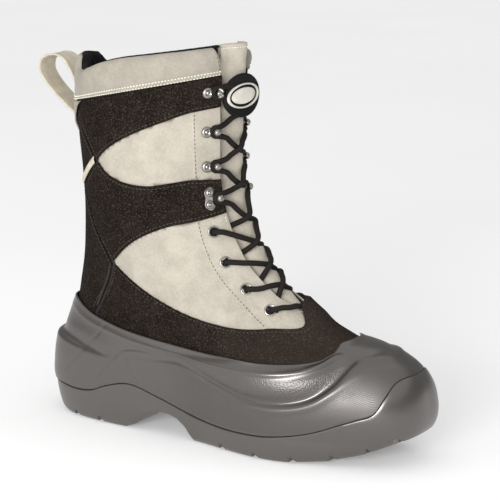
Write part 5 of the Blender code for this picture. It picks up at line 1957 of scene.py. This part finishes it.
class BOOT_OT_canvas(bpy.types.Operator):
    """Cut the canvas wall and its fleece lining"""

    bl_idname = "boot.canvas"
    bl_label = "Canvas and lining"

    def execute(self, context):
        build_canvas()
        build_lining()
        return {"FINISHED"}


class BOOT_OT_suede(bpy.types.Operator):
    """Lay the suede bands, the mudguard and the back strip"""

    bl_idname = "boot.suede"
    bl_label = "Suede overlays"

    def execute(self, context):
        build_bands()
        build_guard()
        build_back_strip()
        return {"FINISHED"}


class BOOT_OT_trims(bpy.types.Operator):
    """Add the back tab, the side label and the piping"""

    bl_idname = "boot.trims"
    bl_label = "Trims"

    def execute(self, context):
        build_trims()
        return {"FINISHED"}


class BOOT_OT_cuff(bpy.types.Operator):
    """Pad the collar and line it with fleece"""

    bl_idname = "boot.cuff"
    bl_label = "Padded cuff"

    def execute(self, context):
        build_collar()
        build_cuff_fleece()
        return {"FINISHED"}


class BOOT_OT_tongue(bpy.types.Operator):
    """Pad the tongue"""

    bl_idname = "boot.tongue"
    bl_label = "Tongue"

    def execute(self, context):
        build_tongue()
        return {"FINISHED"}


class BOOT_OT_loop(bpy.types.Operator):
    """Fold the pull loop's tape behind the cuff"""

    bl_idname = "boot.loop"
    bl_label = "Pull loop"

    def execute(self, context):
        build_loop()
        return {"FINISHED"}


class BOOT_OT_metal(bpy.types.Operator):
    """Set the eyelets and the lace hooks"""

    bl_idname = "boot.metal"
    bl_label = "Eyelets and hooks"

    def execute(self, context):
        build_eyelets()
        build_hooks()
        return {"FINISHED"}


class BOOT_OT_laces(bpy.types.Operator):
    """Lace the boot"""

    bl_idname = "boot.laces"
    bl_label = "Laces"

    def execute(self, context):
        build_laces()
        return {"FINISHED"}


class BOOT_OT_badge(bpy.types.Operator):
    """Mould the oval keeper at the top of the laces"""

    bl_idname = "boot.badge"
    bl_label = "Keeper"

    def execute(self, context):
        build_badge()
        return {"FINISHED"}


class BOOT_OT_stitches(bpy.types.Operator):
    """Sew the visible rows of stitches"""

    bl_idname = "boot.stitches"
    bl_label = "Stitching"

    def execute(self, context):
        build_stitches()
        return {"FINISHED"}


class BOOT_OT_stage(bpy.types.Operator):
    """Set the floor, the lights and the camera"""

    bl_idname = "boot.stage"
    bl_label = "Stage"

    def execute(self, context):
        build_stage()
        return {"FINISHED"}


STEPS = ("stage", "lower", "canvas", "suede", "trims", "cuff", "tongue", "loop", "metal",
         "laces", "badge", "stitches")


class BOOT_PT_panel(bpy.types.Panel):
    """Sizes, colours and steps of the winter pac boot"""

    bl_label = "Winter Pac Boot"
    bl_idname = "BOOT_PT_panel"
    bl_space_type = "VIEW_3D"
    bl_region_type = "UI"
    bl_category = "Boot"

    def draw(self, context):
        for group in (context.scene.boot_sizes, context.scene.boot_colours):
            box = self.layout.box()
            for name in group.__annotations__:
                box.prop(group, name)
        for name in STEPS:
            self.layout.operator("boot." + name)


CLASSES = (BootSizes, BootColours, BOOT_OT_lower, BOOT_OT_canvas, BOOT_OT_suede, BOOT_OT_trims,
           BOOT_OT_cuff, BOOT_OT_tongue, BOOT_OT_loop, BOOT_OT_metal, BOOT_OT_laces,
           BOOT_OT_badge, BOOT_OT_stitches, BOOT_OT_stage, BOOT_PT_panel)


def register():
    for each in CLASSES:
        bpy.utils.register_class(each)
    bpy.types.Scene.boot_sizes = PointerProperty(type=BootSizes)
    bpy.types.Scene.boot_colours = PointerProperty(type=BootColours)


def unregister():
    del bpy.types.Scene.boot_colours
    del bpy.types.Scene.boot_sizes
    for each in reversed(CLASSES):
        bpy.utils.unregister_class(each)


def main():
    register()
    for name in STEPS:
        getattr(bpy.ops.boot, name)()


if __name__ == "__main__":
    main()
